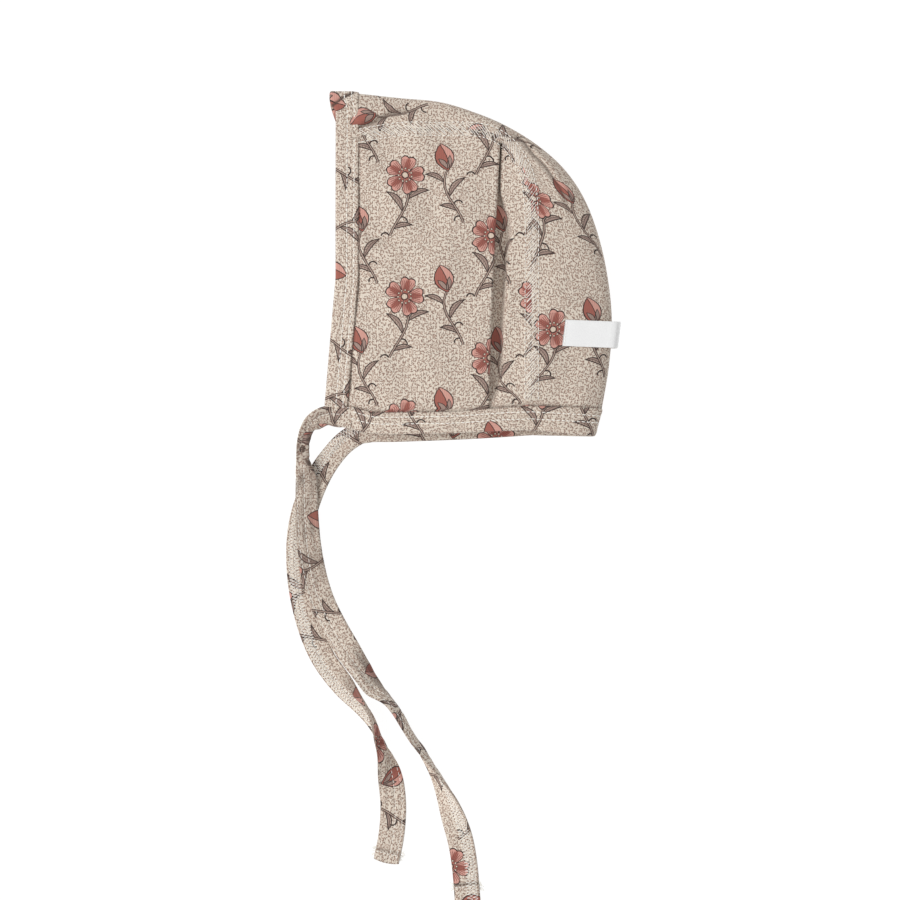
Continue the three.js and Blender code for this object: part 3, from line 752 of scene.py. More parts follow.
def strip_grid():
    """The centre strip: each line runs from the near seam round the fold to the far seam."""
    stations = np.linspace(0, 1, STRIP_STATIONS)[:, None]
    turns = np.linspace(1, -1, STRIP_TURNS)
    row = sample(STRIP_ROWS, stations[:, 0])[:, None, :]
    fold_x, fold_y, fold_z, seam_x, seam_y, drop = (row[..., k] for k in range(6))
    inward, _ = fold_point(turns)
    x = mix(fold_x, seam_x, inward)
    y = mix(fold_y, seam_y, inward) - drop * np.maximum(-turns, 0)
    z = fold_height(turns, fold_z, near_height(seam_x, seam_y), SOLID_CLOTH_THICKNESS / 2)
    z = np.broadcast_to(z, x.shape).copy()
    top = smooth(turns, 0.1, 0.5)
    z += top * near_relief(x, y)
    away, place = seam_place(x, y, False)
    far_away, _ = seam_place(x, y, True)
    z += np.where(turns > 0, top, 0) * seam_relief(away, place)
    shade = strip_shade(x, y, turns, stations, away, far_away)
    grid = np.stack([x, y, z], -1)
    # The end at the neck sinks a little under the near side's binding
    last_rows = smooth(np.arange(STRIP_STATIONS), STRIP_STATIONS - 7, STRIP_STATIONS - 1)[:, None]
    sunk = last_rows * smooth(turns, 0.1, 0.4) * smooth(1 - turns, 0.02, 0.15)
    grid[..., 2] -= STRIP_SINK * sunk
    # The end at the face runs on under the binding and draws in towards its core
    lead = np.linspace(1, 0, 10)[:-1, None, None]
    grid = np.concatenate([grid[:1] - lead * [STRIP_LEAD, 0, 0], grid])
    core = np.array([grid[0, :, 1].min(), 0.006])
    pull = 0.07 * smooth(np.arange(len(grid)), 8, 2)[:, None, None]
    grid[..., 1:] = mix(grid[..., 1:], core, pull)
    # Both edges reach a little way inside the side panels
    first = grid[:, 0] + unit(grid[:, 0] - grid[:, 2]) * CLOTH_TUCK - [0, 0, STRIP_SINK]
    last = grid[:, -1] + unit(grid[:, -1] - grid[:, -3]) * CLOTH_TUCK + [0, 0, STRIP_SINK]
    grid = np.concatenate([first[:, None], grid, last[:, None]], axis=1)
    shade = np.pad(shade, ((len(grid) - len(shade), 0), (1, 1)), mode="edge")
    u = run_lengths(grid)
    u = u - u[:, u.shape[1] // 2][:, None]
    v = -run_lengths(grid[:, 30])
    return grid, np.stack(np.broadcast_arrays(u, v[:, None]), -1), shade


# Bindings, ties and the label: flat tapes along a line of frames

def make_frames(centre, side, outward):
    """Frames of a tape: middle points, and the directions along it, across it and out of its outer face."""
    tangent = unit(np.gradient(centre, axis=0))
    side = unit(side - tangent * (side * tangent).sum(-1, keepdims=True))
    out = unit(np.cross(tangent, side)) * outward
    return {"centre": centre, "tangent": tangent, "side": side, "out": out, "along": run_lengths(centre)}


def tape_section(columns):
    """Places across a tape from -1 to 1, closer at the edges, and the share of its thickness there."""
    angle = np.linspace(-math.pi / 2, math.pi / 2, columns)
    even = np.linspace(-1, 1, columns)
    place = mix(even, np.sin(angle), 0.6)
    place[0], place[-1] = -1, 1
    return place, np.sqrt(np.maximum(1 - np.abs(place) ** EDGE_POWER, 0))


def plan_places(frames, along, offset, height=0.0):
    """Where places on a tape, that height above its middle layer, are in plan."""
    middle = frames["centre"] + frames["out"] * height
    lines = [(middle[:, axis], frames["side"][:, axis]) for axis in (0, 1)]
    found = [[np.interp(along, frames["along"], line) for line in pair] for pair in lines]
    return [start + side * offset for start, side in found]


def around(upper, lower):
    """Values round a tape's section: across its upper face and back across its lower face."""
    return np.concatenate([upper, lower[:, -2:0:-1]], axis=1)


def tape_faces(rows, columns):
    """Faces of a closed tape: its walls, and the caps at its two ends."""
    total = 2 * columns - 2
    index = np.arange(rows * total).reshape(rows, total)
    after = np.roll(index, -1, axis=1)
    faces = np.stack([index[:-1], after[:-1], after[1:], index[1:]], -1).reshape(-1, 4).tolist()
    for row, turn in ((0, 1), (rows - 1, -1)):
        for k in range(columns - 1):
            cap = index[row, [k, k + 1, (total - k - 1) % total, (total - k) % total]].tolist()
            faces.append(list(dict.fromkeys(cap))[::turn])
    return faces


def raise_off_floor(top, bottom):
    """Lifts a tape's two faces where they would sink into the surface."""
    lowest = np.minimum(top[..., 2].min(1), bottom[..., 2].min(1))
    rise = np.maximum(FLOOR_GAP - lowest, 0)
    rise = np.maximum(rise, smoothed(rise, mode="edge"))
    top[..., 2] += rise[:, None]
    bottom[..., 2] += rise[:, None]


def make_tape(name, frames, width, thickness, material, relief=None, fold=None, cup=None, columns=34,
              shade=None, bulge=0.0):
    """A closed tape. fold: flat width where it is folded over lengthways. cup: how far it is hollowed.
    bulge: how far the middle of its far end stands out."""
    place, fullness = tape_section(columns)
    rows = len(frames["centre"])
    width = np.broadcast_to(width, (rows,))[:, None]
    thickness = np.broadcast_to(thickness, (rows,))[:, None]
    along = frames["along"][:, None]
    offset = place[None, :] * width / 2
    across, rise = offset, np.zeros((rows, columns))
    if fold is not None:
        across, rise = folded_section(place, width, fold[:, None])
    if cup is not None:
        rise = rise + np.asarray(cup)[:, None] * (1 - place[None, :] ** 2)
    da, db = np.gradient(across, axis=1), np.gradient(rise, axis=1)
    size = np.maximum(np.hypot(da, db), 1e-12)
    normal_a, normal_b = -db / size, da / size
    lift = np.zeros((rows, columns)) if relief is None else relief(along, offset)
    shift = bulge * (1 - smooth(along[-1] - along, 0, 0.006)) * (1 - place[None, :] ** 2)

    def face(sign):
        half = sign * (thickness / 2 * fullness + lift * fullness)
        a = (across + normal_a * half)[..., None]
        b = (rise + normal_b * half)[..., None]
        flat = frames["centre"][:, None] + frames["side"][:, None] * a + frames["out"][:, None] * b
        return flat + frames["tangent"][:, None] * shift[..., None]

    top, bottom = face(1), face(-1)
    raise_off_floor(top, bottom)
    faces = tape_faces(rows, columns)
    # The outer face looks along out, which is tangent x side or its opposite
    if (np.cross(frames["tangent"][0], frames["side"][0]) * frames["out"][0]).sum() > 0:
        faces = [face_row[::-1] for face_row in faces]
    v = around(offset, offset + LOWER_PRINT_SHIFT)
    uv = np.stack([np.broadcast_to(along, v.shape), v], -1).reshape(-1, 2)
    made = make_object(name, around(top, bottom).reshape(-1, 3), faces, material, uv, np.zeros(v.size))
    # Painted shade: a thin dark line along both edges of every tape, with any shade that the tape is given
    dark = EDGE_SHADE * bell((1 - np.abs(place[None, :])) * width / 2, EDGE_SHADE_REACH)
    shades = [dark, dark]
    if shade is not None:
        shades = [np.maximum(dark, shade(along, offset, top_face)) for top_face in (1, 0)]
    add_attribute(made, "shade", around(*shades).ravel())
    return made, {"top": top, "bottom": bottom, "place": place, "frames": frames, "width": width[:, 0]}


def folded_section(place, width, flat_width):
    """A tape of flat_width folded over at its negative edge until it is only width wide."""
    spare = np.maximum(flat_width - width, 0)
    angle = np.minimum(spare / FOLD_RADIUS + np.minimum(spare / 0.0003, 1), math.pi)
    reach = FOLD_RADIUS * np.where(angle > math.pi / 2, 1, np.sin(angle))
    flat = np.where(angle >= math.pi, width - FOLD_RADIUS, flat_width - FOLD_RADIUS * angle)
    gone = (1 - place[None, :]) / 2 * flat_width
    past = np.maximum(gone - flat, 0)
    turned = np.minimum(past / FOLD_RADIUS, angle)
    beyond = np.maximum(past - FOLD_RADIUS * angle, 0)
    a = np.minimum(gone, flat) + FOLD_RADIUS * np.sin(turned) + beyond * np.cos(angle)
    b = FOLD_RADIUS * (1 - np.cos(turned)) + beyond * np.sin(angle)
    return width / 2 - a, b


def slope(x, y, along_x):
    """Slope of the near side's cloth along x or along y."""
    step = 0.0005
    if along_x:
        return (near_height(x + step, y) - near_height(x - step, y)) / (2 * step)
    return (near_height(x, y + step) - near_height(x, y - step)) / (2 * step)


def face_frames():
    """Frames of the face binding: up the near edge, over the fold at the crown and down the far edge."""
    start_y = FACE_FOLD_Y - FACE_FOLD_DEPTH
    leg = np.linspace(0, 1, 120)
    turn = np.linspace(1, -1, 61)
    near_y = mix(FACE_NEAR_END_Y, start_y, leg[:-1])
    near_x = face_outer_x(near_y) + FACE_BAND_WIDTH / 2
    top_x = face_outer_x(start_y) + FACE_BAND_WIDTH / 2
    inward, _ = fold_point(turn)
    fold_y = FACE_FOLD_Y - FACE_FOLD_DEPTH * inward
    near_edge, far_edge = face_outer_x(fold_y), far_band_x(fold_y) - FACE_BAND_WIDTH / 2
    spread = far_edge - near_edge
    outer = near_edge + spread * smooth(turn, 0.75, 0.35)
    inner = near_edge + FACE_BAND_WIDTH + spread * smooth(turn, 0, -0.6)
    far_y = mix(start_y, FACE_FAR_END_Y, leg[1:])
    # Both ends draw in a little, inside the neck binding
    near_sink, far_sink = (
        FACE_SINK * smooth(y, end_y + FACE_SINK_LENGTH, end_y + 0.002)
        for y, end_y in ((near_y, FACE_NEAR_END_Y), (far_y, FACE_FAR_END_Y))
    )
    half_band = SOLID_BAND_THICKNESS / 2
    x = np.concatenate([near_x, (outer + inner) / 2, far_band_x(far_y)])
    y = np.concatenate([near_y, fold_y, far_y])
    z = np.concatenate([
        near_height(near_x, near_y) - near_sink,
        fold_height(turn, FACE_FOLD_Z, near_height(top_x, start_y), half_band),
        half_band + far_sink,
    ])
    tilt = np.concatenate([
        slope(near_x, near_y, True),
        slope(top_x, start_y, True) * np.maximum(turn, 0),
        np.zeros(len(far_y)),
    ])
    side = np.stack([np.ones(len(x)), np.zeros(len(x)), tilt], -1)
    width = np.full(len(x), FACE_BAND_WIDTH)
    width[len(near_y):-len(far_y)] = inner - outer
    return make_frames(np.stack([x, y, z], -1), side, -1), width


def face_turn_distance(frames, along, offset):
    """Distance to the crown's crease in plan, on the near side, and how far beyond it a place is."""
    x, y = plan_places(frames, along, offset, BAND_THICKNESS / 2)
    away, _ = line_distance(x, y, FACE_TURN)
    top = frames["along"][np.argmax(frames["centre"][:, 1])]
    away = np.where(along < top, away, 1.0)
    beyond = (y - FACE_TURN[0][1]) * FACE_TURN_WAY[1] + (x - FACE_TURN[0][0]) * FACE_TURN_WAY[0]
    return away, np.where(along < top + 0.002, beyond, -1.0)


def face_relief(frames):
    """Relief of the face binding: its stitched rows, and the crease where it turns over at the crown."""
    plain = band_relief(FACE_BAND_WIDTH / 2, seed=41)
    top = frames["along"][np.argmax(frames["centre"][:, 1])]

    def relief(along, offset):
        away, beyond = face_turn_distance(frames, along, offset)
        even = smooth(np.abs(along - top), 0.003, 0.008)
        ledge = 0.0002 * smooth(beyond, -0.0003, 0.0003)
        return plain(along, offset) * even + ledge - 0.0007 * bell(away, FACE_TURN_HALF_WIDTH)
    return relief


def face_shade(frames):
    """Painted shade: the dark line in the crown's crease."""
    def shade(along, offset, top):
        away, _ = face_turn_distance(frames, along, offset)
        return top * np.minimum(1.3 * bell(away, FACE_TURN_HALF_WIDTH), 0.96)
    return shade


def neck_frames():
    """Frames of the neck binding: along the near edge, round the back fold and along the far edge."""
    leg = np.linspace(0, 1, 110)
    turn = np.linspace(1, -1, 61)
    near = sample(NECK_NEAR_ROWS, leg[:-1])
    far = sample(NECK_FAR_ROWS, leg[1:])
    start, end = np.array(NECK_NEAR_ROWS[-1]), np.array(NECK_FAR_ROWS[0])
    inward, _ = fold_point(turn)
    legs = np.where(turn[:, None] > 0, start, end)
    fold = mix(np.array(NECK_FOLD_ROW), legs, inward[:, None])
    near_z = near_height(start[0], start[1])
    x, y, width = np.concatenate([near, fold, far]).T
    z = np.concatenate([
        near_height(near[:, 0], near[:, 1]),
        fold_height(turn, NECK_FOLD_Z, near_z, SOLID_BAND_THICKNESS / 2),
        np.full(len(far), SOLID_BAND_THICKNESS / 2),
    ])
    lean = np.concatenate([near[:, 0] * 0, NECK_FOLD_LEAN * (1 - inward), far[:, 0] * 0])
    tilt = np.concatenate([
        slope(near[:, 0], near[:, 1], False),
        slope(start[0], start[1], False) * np.maximum(turn, 0),
        far[:, 0] * 0,
    ])
    side = np.stack([np.sin(lean), np.cos(lean), tilt], -1)
    return make_frames(np.stack([x, y, z], -1), side, 1), width


def tie_frames(rows, start_height):
    """The frames of a tie, which starts at the height of the binding that it goes on from."""
    line = sample(rows, np.linspace(0, 1, len(rows) * TIE_STEPS_PER_ROW + 1))
    x, y, lift, roll, width = (smoothed(column, mode="reflect", reflect_type="odd") for column in line.T)
    thickness = SOLID_TIE_THICKNESS * TIE_WIDTH / width
    angle = np.radians(roll)
    reach = (np.abs(np.sin(angle)) * width + np.abs(np.cos(angle)) * thickness) / 2
    along = run_lengths(np.stack([x, y], -1))
    z = mix(start_height, np.maximum(lift, 0) + reach, smooth(along, 0.001, 0.022))
    centre = np.stack([x, y, z], -1)
    tangent = unit(np.gradient(centre, axis=0))
    level = unit(np.stack([tangent[:, 1], -tangent[:, 0], np.zeros(len(x))], -1))
    upright = np.cross(tangent, level)
    side = level * np.cos(angle)[:, None] + upright * np.sin(angle)[:, None]
    return make_frames(centre, side, -1), width, angle


def label_frames():
    """Frames of the label: over the strip's near half, round its tip and back under the far half."""
    fold_x, _, fold_z, seam_x, seam_y, _ = STRIP_ROWS[LABEL_STRIP_ROW]
    near_z = near_height(seam_x, seam_y)

    def strip_height(x, side):
        share = np.clip((x - seam_x) / (fold_x - seam_x), 0, 1) ** (FOLD_BLEND / 2)
        turn = side * np.arccos(share) * 2 / math.pi
        return fold_height(turn, fold_z, near_z, SOLID_CLOTH_THICKNESS / 2)

    shoulder_x = fold_x - LABEL_SHOULDER
    near_part = np.linspace(0, 1, 40)
    near_x = mix(LABEL_NEAR_X, shoulder_x, near_part)
    near_line = strip_height(near_x, 1) + LABEL_LIFT
    near_line = np.maximum(near_line, mix(near_line[0], near_line[-1] + LABEL_RISE, near_part))
    near_line = smoothed(near_line, np.ones(9), mode="reflect", reflect_type="odd")
    far_part = np.linspace(0, 1, 16)
    far_x = mix(shoulder_x, LABEL_FAR_X, far_part)
    far_line = strip_height(far_x, -1) - mix(*LABEL_DROPS, far_part)
    angle = np.linspace(0, math.pi, 16)[1:-1]
    tip_x = shoulder_x + (LABEL_TIP_X + LABEL_TIP_SPARE - shoulder_x) * np.sin(angle) ** LABEL_TIP_ROUND
    tip_z = mix(near_line[-1], far_line[0], (1 - np.cos(angle)) / 2)
    x = np.concatenate([near_x, tip_x, far_x])
    z = np.concatenate([near_line, tip_z, far_line])
    y = np.interp(x, (LABEL_NEAR_X, LABEL_TIP_X), LABEL_MIDDLE_Y)
    centre = np.stack([x, y, z], -1)
    side = np.broadcast_to([LABEL_LEAN, 1.0, 0.0], centre.shape)
    frames = make_frames(centre, side, 1)
    frames["side"] = side
    return frames


# Threads

def thread_tubes(paths, normals, radius):
    """Small tubes along many paths of the same number of points, closed at both ends."""
    count, points, _ = paths.shape
    tangent = unit(np.gradient(paths, axis=1))
    side = unit(np.cross(tangent, normals))
    up = np.cross(side, tangent)
    angle = np.arange(THREAD_SIDES) * 2 * math.pi / THREAD_SIDES
    taper = np.ones(points)
    taper[0] = taper[-1] = 0.35
    ring = np.cos(angle)[:, None] * side[:, :, None] + np.sin(angle)[:, None] * up[:, :, None]
    vertices = paths[:, :, None] + ring * (radius * taper)[None, :, None, None]
    index = np.arange(count * points * THREAD_SIDES).reshape(count, points, THREAD_SIDES)
    after = np.roll(index, -1, axis=2)
    walls = np.stack([index[:, :-1], after[:, :-1], after[:, 1:], index[:, 1:]], -1).reshape(-1, 4)
    caps = [*index[:, 0, ::-1].tolist(), *index[:, -1].tolist()]
    return vertices.reshape(-1, 3), walls.tolist(), caps


def make_threads(name, groups, material):
    """One piece from groups of threads: their paths, the directions they look in, their radius."""
    vertices, faces, offset = [], [], 0
    for paths, normals, radius in groups:
        points, walls, caps = thread_tubes(paths, normals, radius)
        vertices.append(points)
        faces += [[corner + offset for corner in face] for face in walls + caps]
        offset += len(points)
    return make_object(name, np.concatenate(vertices), faces, material)


def on_grid(grid, row, column):
    """Points of a grid at fractional rows and columns."""
    low_row = np.clip(np.floor(row).astype(int), 0, grid.shape[0] - 2)
    low_column = np.clip(np.floor(column).astype(int), 0, grid.shape[1] - 2)
    r, c = (row - low_row)[..., None], (column - low_column)[..., None]
    upper = mix(grid[low_row, low_column], grid[low_row, low_column + 1], c)
    lower = mix(grid[low_row + 1, low_column], grid[low_row + 1, low_column + 1], c)
    return mix(upper, lower, r)


def on_tape(tape, face, along, offset, height):
    """Points on a tape's face, offset metres from its middle line, height metres off it, with the normals."""
    grid = tape[face]
    normals = grid_normals(grid)
    centre = (tape["top"] + tape["bottom"]) / 2
    if ((grid - centre) * normals).sum() < 0:
        normals = -normals
    rows = np.interp(along, tape["frames"]["along"], np.arange(len(grid)))
    half = np.interp(along, tape["frames"]["along"], tape["width"]) / 2
    columns = np.interp(offset / half, tape["place"], np.arange(len(tape["place"])))
    normal = unit(on_grid(normals, rows, columns))
    return on_grid(grid, rows, columns) + normal * np.asarray(height)[..., None], normal


def hump(part, radius, rise, sink):
    """Height of a stitch over the cloth: it comes out, lies on the cloth and goes in again."""
    return radius * (rise * np.sin(math.pi * part) - sink)


def dashes(tape, face, offset, radius=STITCH_RADIUS):
    """A row of stitches along a tape."""
    end = tape["frames"]["along"][-1] - STITCH_END
    places = np.arange(STITCH_END, end - STITCH_LENGTH, STITCH_PITCH)[:, None]
    part = np.linspace(0, 1, 6)[None, :]
    along = places + part * STITCH_LENGTH
    height = np.broadcast_to(hump(part, radius, 1.5, 0.8), along.shape)
    points, normals = on_tape(tape, face, along, np.broadcast_to(offset, along.shape), height)
    return points, normals, radius


def loops(tape, face, offsets):
    """The looped side of a two-needle seam: a thread that runs from one row to the other and back."""
    end = tape["frames"]["along"][-1] - STITCH_END
    places = np.arange(STITCH_END, end - LOOP_PITCH, LOOP_PITCH)[:, None]
    part = np.linspace(0, 1, 7)[None, :]
    groups = []
    for lag, (near, far) in ((0, offsets), (0.5, offsets[::-1])):
        along = places + (part + lag) * LOOP_PITCH * 0.75
        offset = np.broadcast_to(mix(near, far, smooth(part, 0, 1)), along.shape)
        height = np.broadcast_to(hump(part, LOOP_RADIUS, 1.2, 0.4), along.shape)
        points, normals = on_tape(tape, face, along, offset, height)
        groups.append((points, normals, LOOP_RADIUS))
    return groups


def drape(tree, plan, from_above, height):
    """Puts points in plan on the cloth, seen from above or from below."""
    start_z, direction = (0.1, Vector((0, 0, -1))) if from_above else (-0.05, Vector((0, 0, 1)))
    flat = plan.reshape(-1, 2)
    points = np.empty((len(flat), 3))
    normals = np.empty((len(flat), 3))
    last = (Vector((0, 0, 0.02)), Vector((0, 0, 1)))
    for k, (x, y) in enumerate(flat):
        hit, normal, _, _ = tree.ray_cast(Vector((x, y, start_z)), direction)
        if hit is None:
            hit, normal = last
            hit = Vector((x, y, hit.z))
        if normal.dot(direction) > 0:
            normal = -normal
        last = (hit, normal)
        points[k], normals[k] = hit, normal
    points = points.reshape(*plan.shape[:-1], 3)
    normals = normals.reshape(*plan.shape[:-1], 3)
    part = np.linspace(0, 1, points.shape[1])
    chord = mix(points[:, :1, 2], points[:, -1:, 2], part)
    taut = np.maximum if from_above else np.minimum
    points[..., 2] = taut(points[..., 2], chord)
    places = points + normals * np.asarray(height)[..., None]
    places[..., 2] = np.maximum(places[..., 2], 2.5 * SEAM_THREAD_RADIUS)
    return places, normals


def seam_plan(far, places, offset):
    """Points in plan beside the seam's middle line: how far along it, and how far off it."""
    line, along = SEAM_LINES[far]
    step = 0.0008
    x, y = (np.interp(places, along, line[:, axis]) for axis in (0, 1))
    dx, dy = (
        np.interp(places + step, along, line[:, axis]) - np.interp(places - step, along, line[:, axis])
        for axis in (0, 1)
    )
    size = np.maximum(np.hypot(dx, dy), 1e-9)
    return np.stack([x - dy / size * offset, y + dx / size * offset], -1)


def seam_threads(tree, far):
    """Slanting threads of the flat seam and the two straight rows at its edges."""
    start, end = 0.0015, SEAM_LINES[far][1][-1] - 0.0015
    radius = SEAM_THREAD_RADIUS
    part = np.linspace(0, 1, 8)[None, :]
    places = np.arange(start, end - SEAM_THREAD_RISE, SEAM_THREAD_PITCH)[:, None]
    rng = np.random.default_rng(21 + far)
    shift, lean, reach = (rng.uniform(-1, 1, places.shape) for _ in range(3))
    slant = seam_plan(
        far,
        places + 0.0002 * shift + (1 - part) * (SEAM_THREAD_RISE + 0.0006 * lean),
        mix(-1, 1, part) * (SEAM_HALF_WIDTH + 0.0002 * reach),
    )
    face_end = FACE_EDGE_X + FACE_BAND_WIDTH - CLOTH_TUCK
    kept = slant[..., 0].min(1) > face_end
    slant, places = slant[kept], places[kept]
    sunk = rng.uniform(0, 1, places.shape)
    broken = 0.9 * waves(places * 1.7, part * 0.009, 0.0045, seed=9)
    high = radius * (1.3 * np.sin(math.pi * part) ** 0.5 - 0.5 - 1.3 * sunk - broken)
    groups = [(*drape(tree, slant, not far, high), radius)]
    dash = np.linspace(0, 1, 5)[None, :]
    for offset in (-SEAM_HALF_WIDTH - 0.0001, SEAM_HALF_WIDTH + 0.0001):
        places = np.arange(start, end - 0.002, SEAM_ROW_PITCH)[:, None]
        row = seam_plan(far, places + dash * SEAM_ROW_LENGTH, offset)
        row = row[row[..., 0].min(1) > face_end]
        high = np.broadcast_to(hump(dash, radius, 2.4, 0.6), row.shape[:-1])
        groups.append((*drape(tree, row, not far, high), radius * 1.5))
    return groups


# Materials

def srgb(red, green, blue):
    """A colour given as on a screen, 0 to 255, as linear numbers."""
    channels = []
    for value in (red, green, blue):
        share = value / 255
        channels.append(share / 12.92 if share <= 0.04045 else ((share + 0.055) / 1.055) ** 2.4)
    return (*channels, 1.0)


class Field:
    """A number that varies over a surface, worked out by shader nodes and written as ordinary arithmetic."""

    def __init__(self, tree, socket):
        self.tree = tree
        self.socket = socket

    def op(self, name, *others, clamp=False):
        node = self.tree.nodes.new("ShaderNodeMath")
        node.operation = name
        node.use_clamp = clamp
        for slot, item in zip(node.inputs, (self, *others)):
            if isinstance(item, Field):
                self.tree.links.new(item.socket, slot)
            else:
                slot.default_value = item
        return Field(self.tree, node.outputs[0])

    def __add__(self, other):
        return self.op("ADD", other)

    __radd__ = __add__

    def __sub__(self, other):
        return self.op("SUBTRACT", other)

    def __rsub__(self, other):
        return self.op("MULTIPLY_ADD", -1.0, other)

    def __mul__(self, other):
        return self.op("MULTIPLY", other)

    __rmul__ = __mul__

    def __truediv__(self, other):
        return self.op("DIVIDE", other)

    def abs(self):
        return self.op("ABSOLUTE")

    def power(self, exponent):
        return self.op("POWER", exponent)

    def wrap(self, low, high):
        return self.op("WRAP", high, low)

    def most(self, other):
        return self.op("MAXIMUM", other)

    def within(self, soft=0.12):
        """1 where this distance is below zero, 0 above it."""
        return self.op("MULTIPLY_ADD", -1 / soft, 0.5, clamp=True)


def vector_field(tree, x, y):
    """A vector of two varying numbers."""
    node = tree.nodes.new("ShaderNodeCombineXYZ")
    for slot, item in zip(node.inputs, (x, y)):
        tree.links.new(item.socket, slot)
    return node.outputs[0]


def split(tree, socket):
    """The first two parts of a vector."""
    node = tree.nodes.new("ShaderNodeSeparateXYZ")
    tree.links.new(socket, node.inputs[0])
    return Field(tree, node.outputs[0]), Field(tree, node.outputs[1])


def noise(tree, vector, scale, detail):
    """Soft noise between 0 and 1."""
    node = tree.nodes.new("ShaderNodeTexNoise")
    node.noise_dimensions = "2D"
    node.inputs["Scale"].default_value = scale
    node.inputs["Detail"].default_value = detail
    tree.links.new(vector, node.inputs["Vector"])
    return Field(tree, node.outputs[0])


def blend_colour(tree, factor, under, over):
    """under where factor is 0 and over where it is 1; each is a colour or a socket."""
    node = tree.nodes.new("ShaderNodeMix")
    node.data_type = "RGBA"
    tree.links.new(factor.socket, node.inputs["Factor"])
    for slot, item in ((node.inputs[6], under), (node.inputs[7], over)):
        if isinstance(item, tuple):
            slot.default_value = item
        else:
            tree.links.new(item, slot)
    return node.outputs[2]


def turned(x, y, degrees):
    """The coordinates in a frame turned by that angle."""
    cosine, sine = math.cos(math.radians(degrees)), math.sin(math.radians(degrees))
    return x * cosine + y * sine, y * cosine - x * sine


def repeated(u, v, origin, cell, degrees):
    """Coordinates about the nearest copy of a motif: columns of copies, each column half a step lower."""
    width, height = cell
    column = ((u - origin[0]) / width).op("ROUND")
    x = u - origin[0] - column * width
    drop = column.op("FLOORED_MODULO", 2.0) * (height / 2)
    y = (v - origin[1] - drop).wrap(-height / 2, height / 2)
    return turned(x, y, degrees)


def scattered_points(tree, point, randomness):
    """The nearest of many scattered points, one to each unit square."""
    cells = tree.nodes.new("ShaderNodeTexVoronoi")
    cells.voronoi_dimensions = "2D"
    cells.inputs["Scale"].default_value = 1.0
    cells.inputs["Randomness"].default_value = randomness
    tree.links.new(point, cells.inputs["Vector"])
    return cells


def scattered_leaves(tree, u, v, cell, half_length, half_width, bend, shift):
    """Distance to small leaves, one to a cell of that size, neighbours lying much the same way."""
    point = vector_field(tree, (u + shift) / cell, (v + shift * 0.7) / cell)
    cells = scattered_points(tree, point, 0.85)
    away = tree.nodes.new("ShaderNodeVectorMath")
    away.operation = "SUBTRACT"
    tree.links.new(point, away.inputs[0])
    tree.links.new(cells.outputs["Position"], away.inputs[1])
    spin = tree.nodes.new("ShaderNodeVectorRotate")
    spin.rotation_type = "Z_AXIS"
    tree.links.new(away.outputs[0], spin.inputs["Vector"])
    chance, _ = split(tree, cells.outputs["Color"])
    drift = noise(tree, cells.outputs["Position"], 0.2, 0.0)
    tree.links.new((drift * 20.0 + chance * 2.2).socket, spin.inputs["Angle"])
    x, y = split(tree, spin.outputs[0])
    x, y = x * cell, y * cell
    body = half_width - x * x * (half_width / half_length**2)
    return (y + x * x * bend).abs() - body


def scattered_rosettes(tree, u, v, cell):
    """How far each place is from the middle of the nearest rosette, one to a cell of that size."""
    cells = scattered_points(tree, vector_field(tree, u / cell, v / cell), 0.9)
    return Field(tree, cells.outputs["Distance"]) * cell


def leaf_marks(x, y, length, width, bend):
    """A pointed leaf from the origin along x: the distance to its edge, and the height over its midrib."""
    arc = (x / length) * (1 - x / length) * 4
    level = y - arc * bend
    distance = level.abs() - arc * (width / 2)
    return distance, level


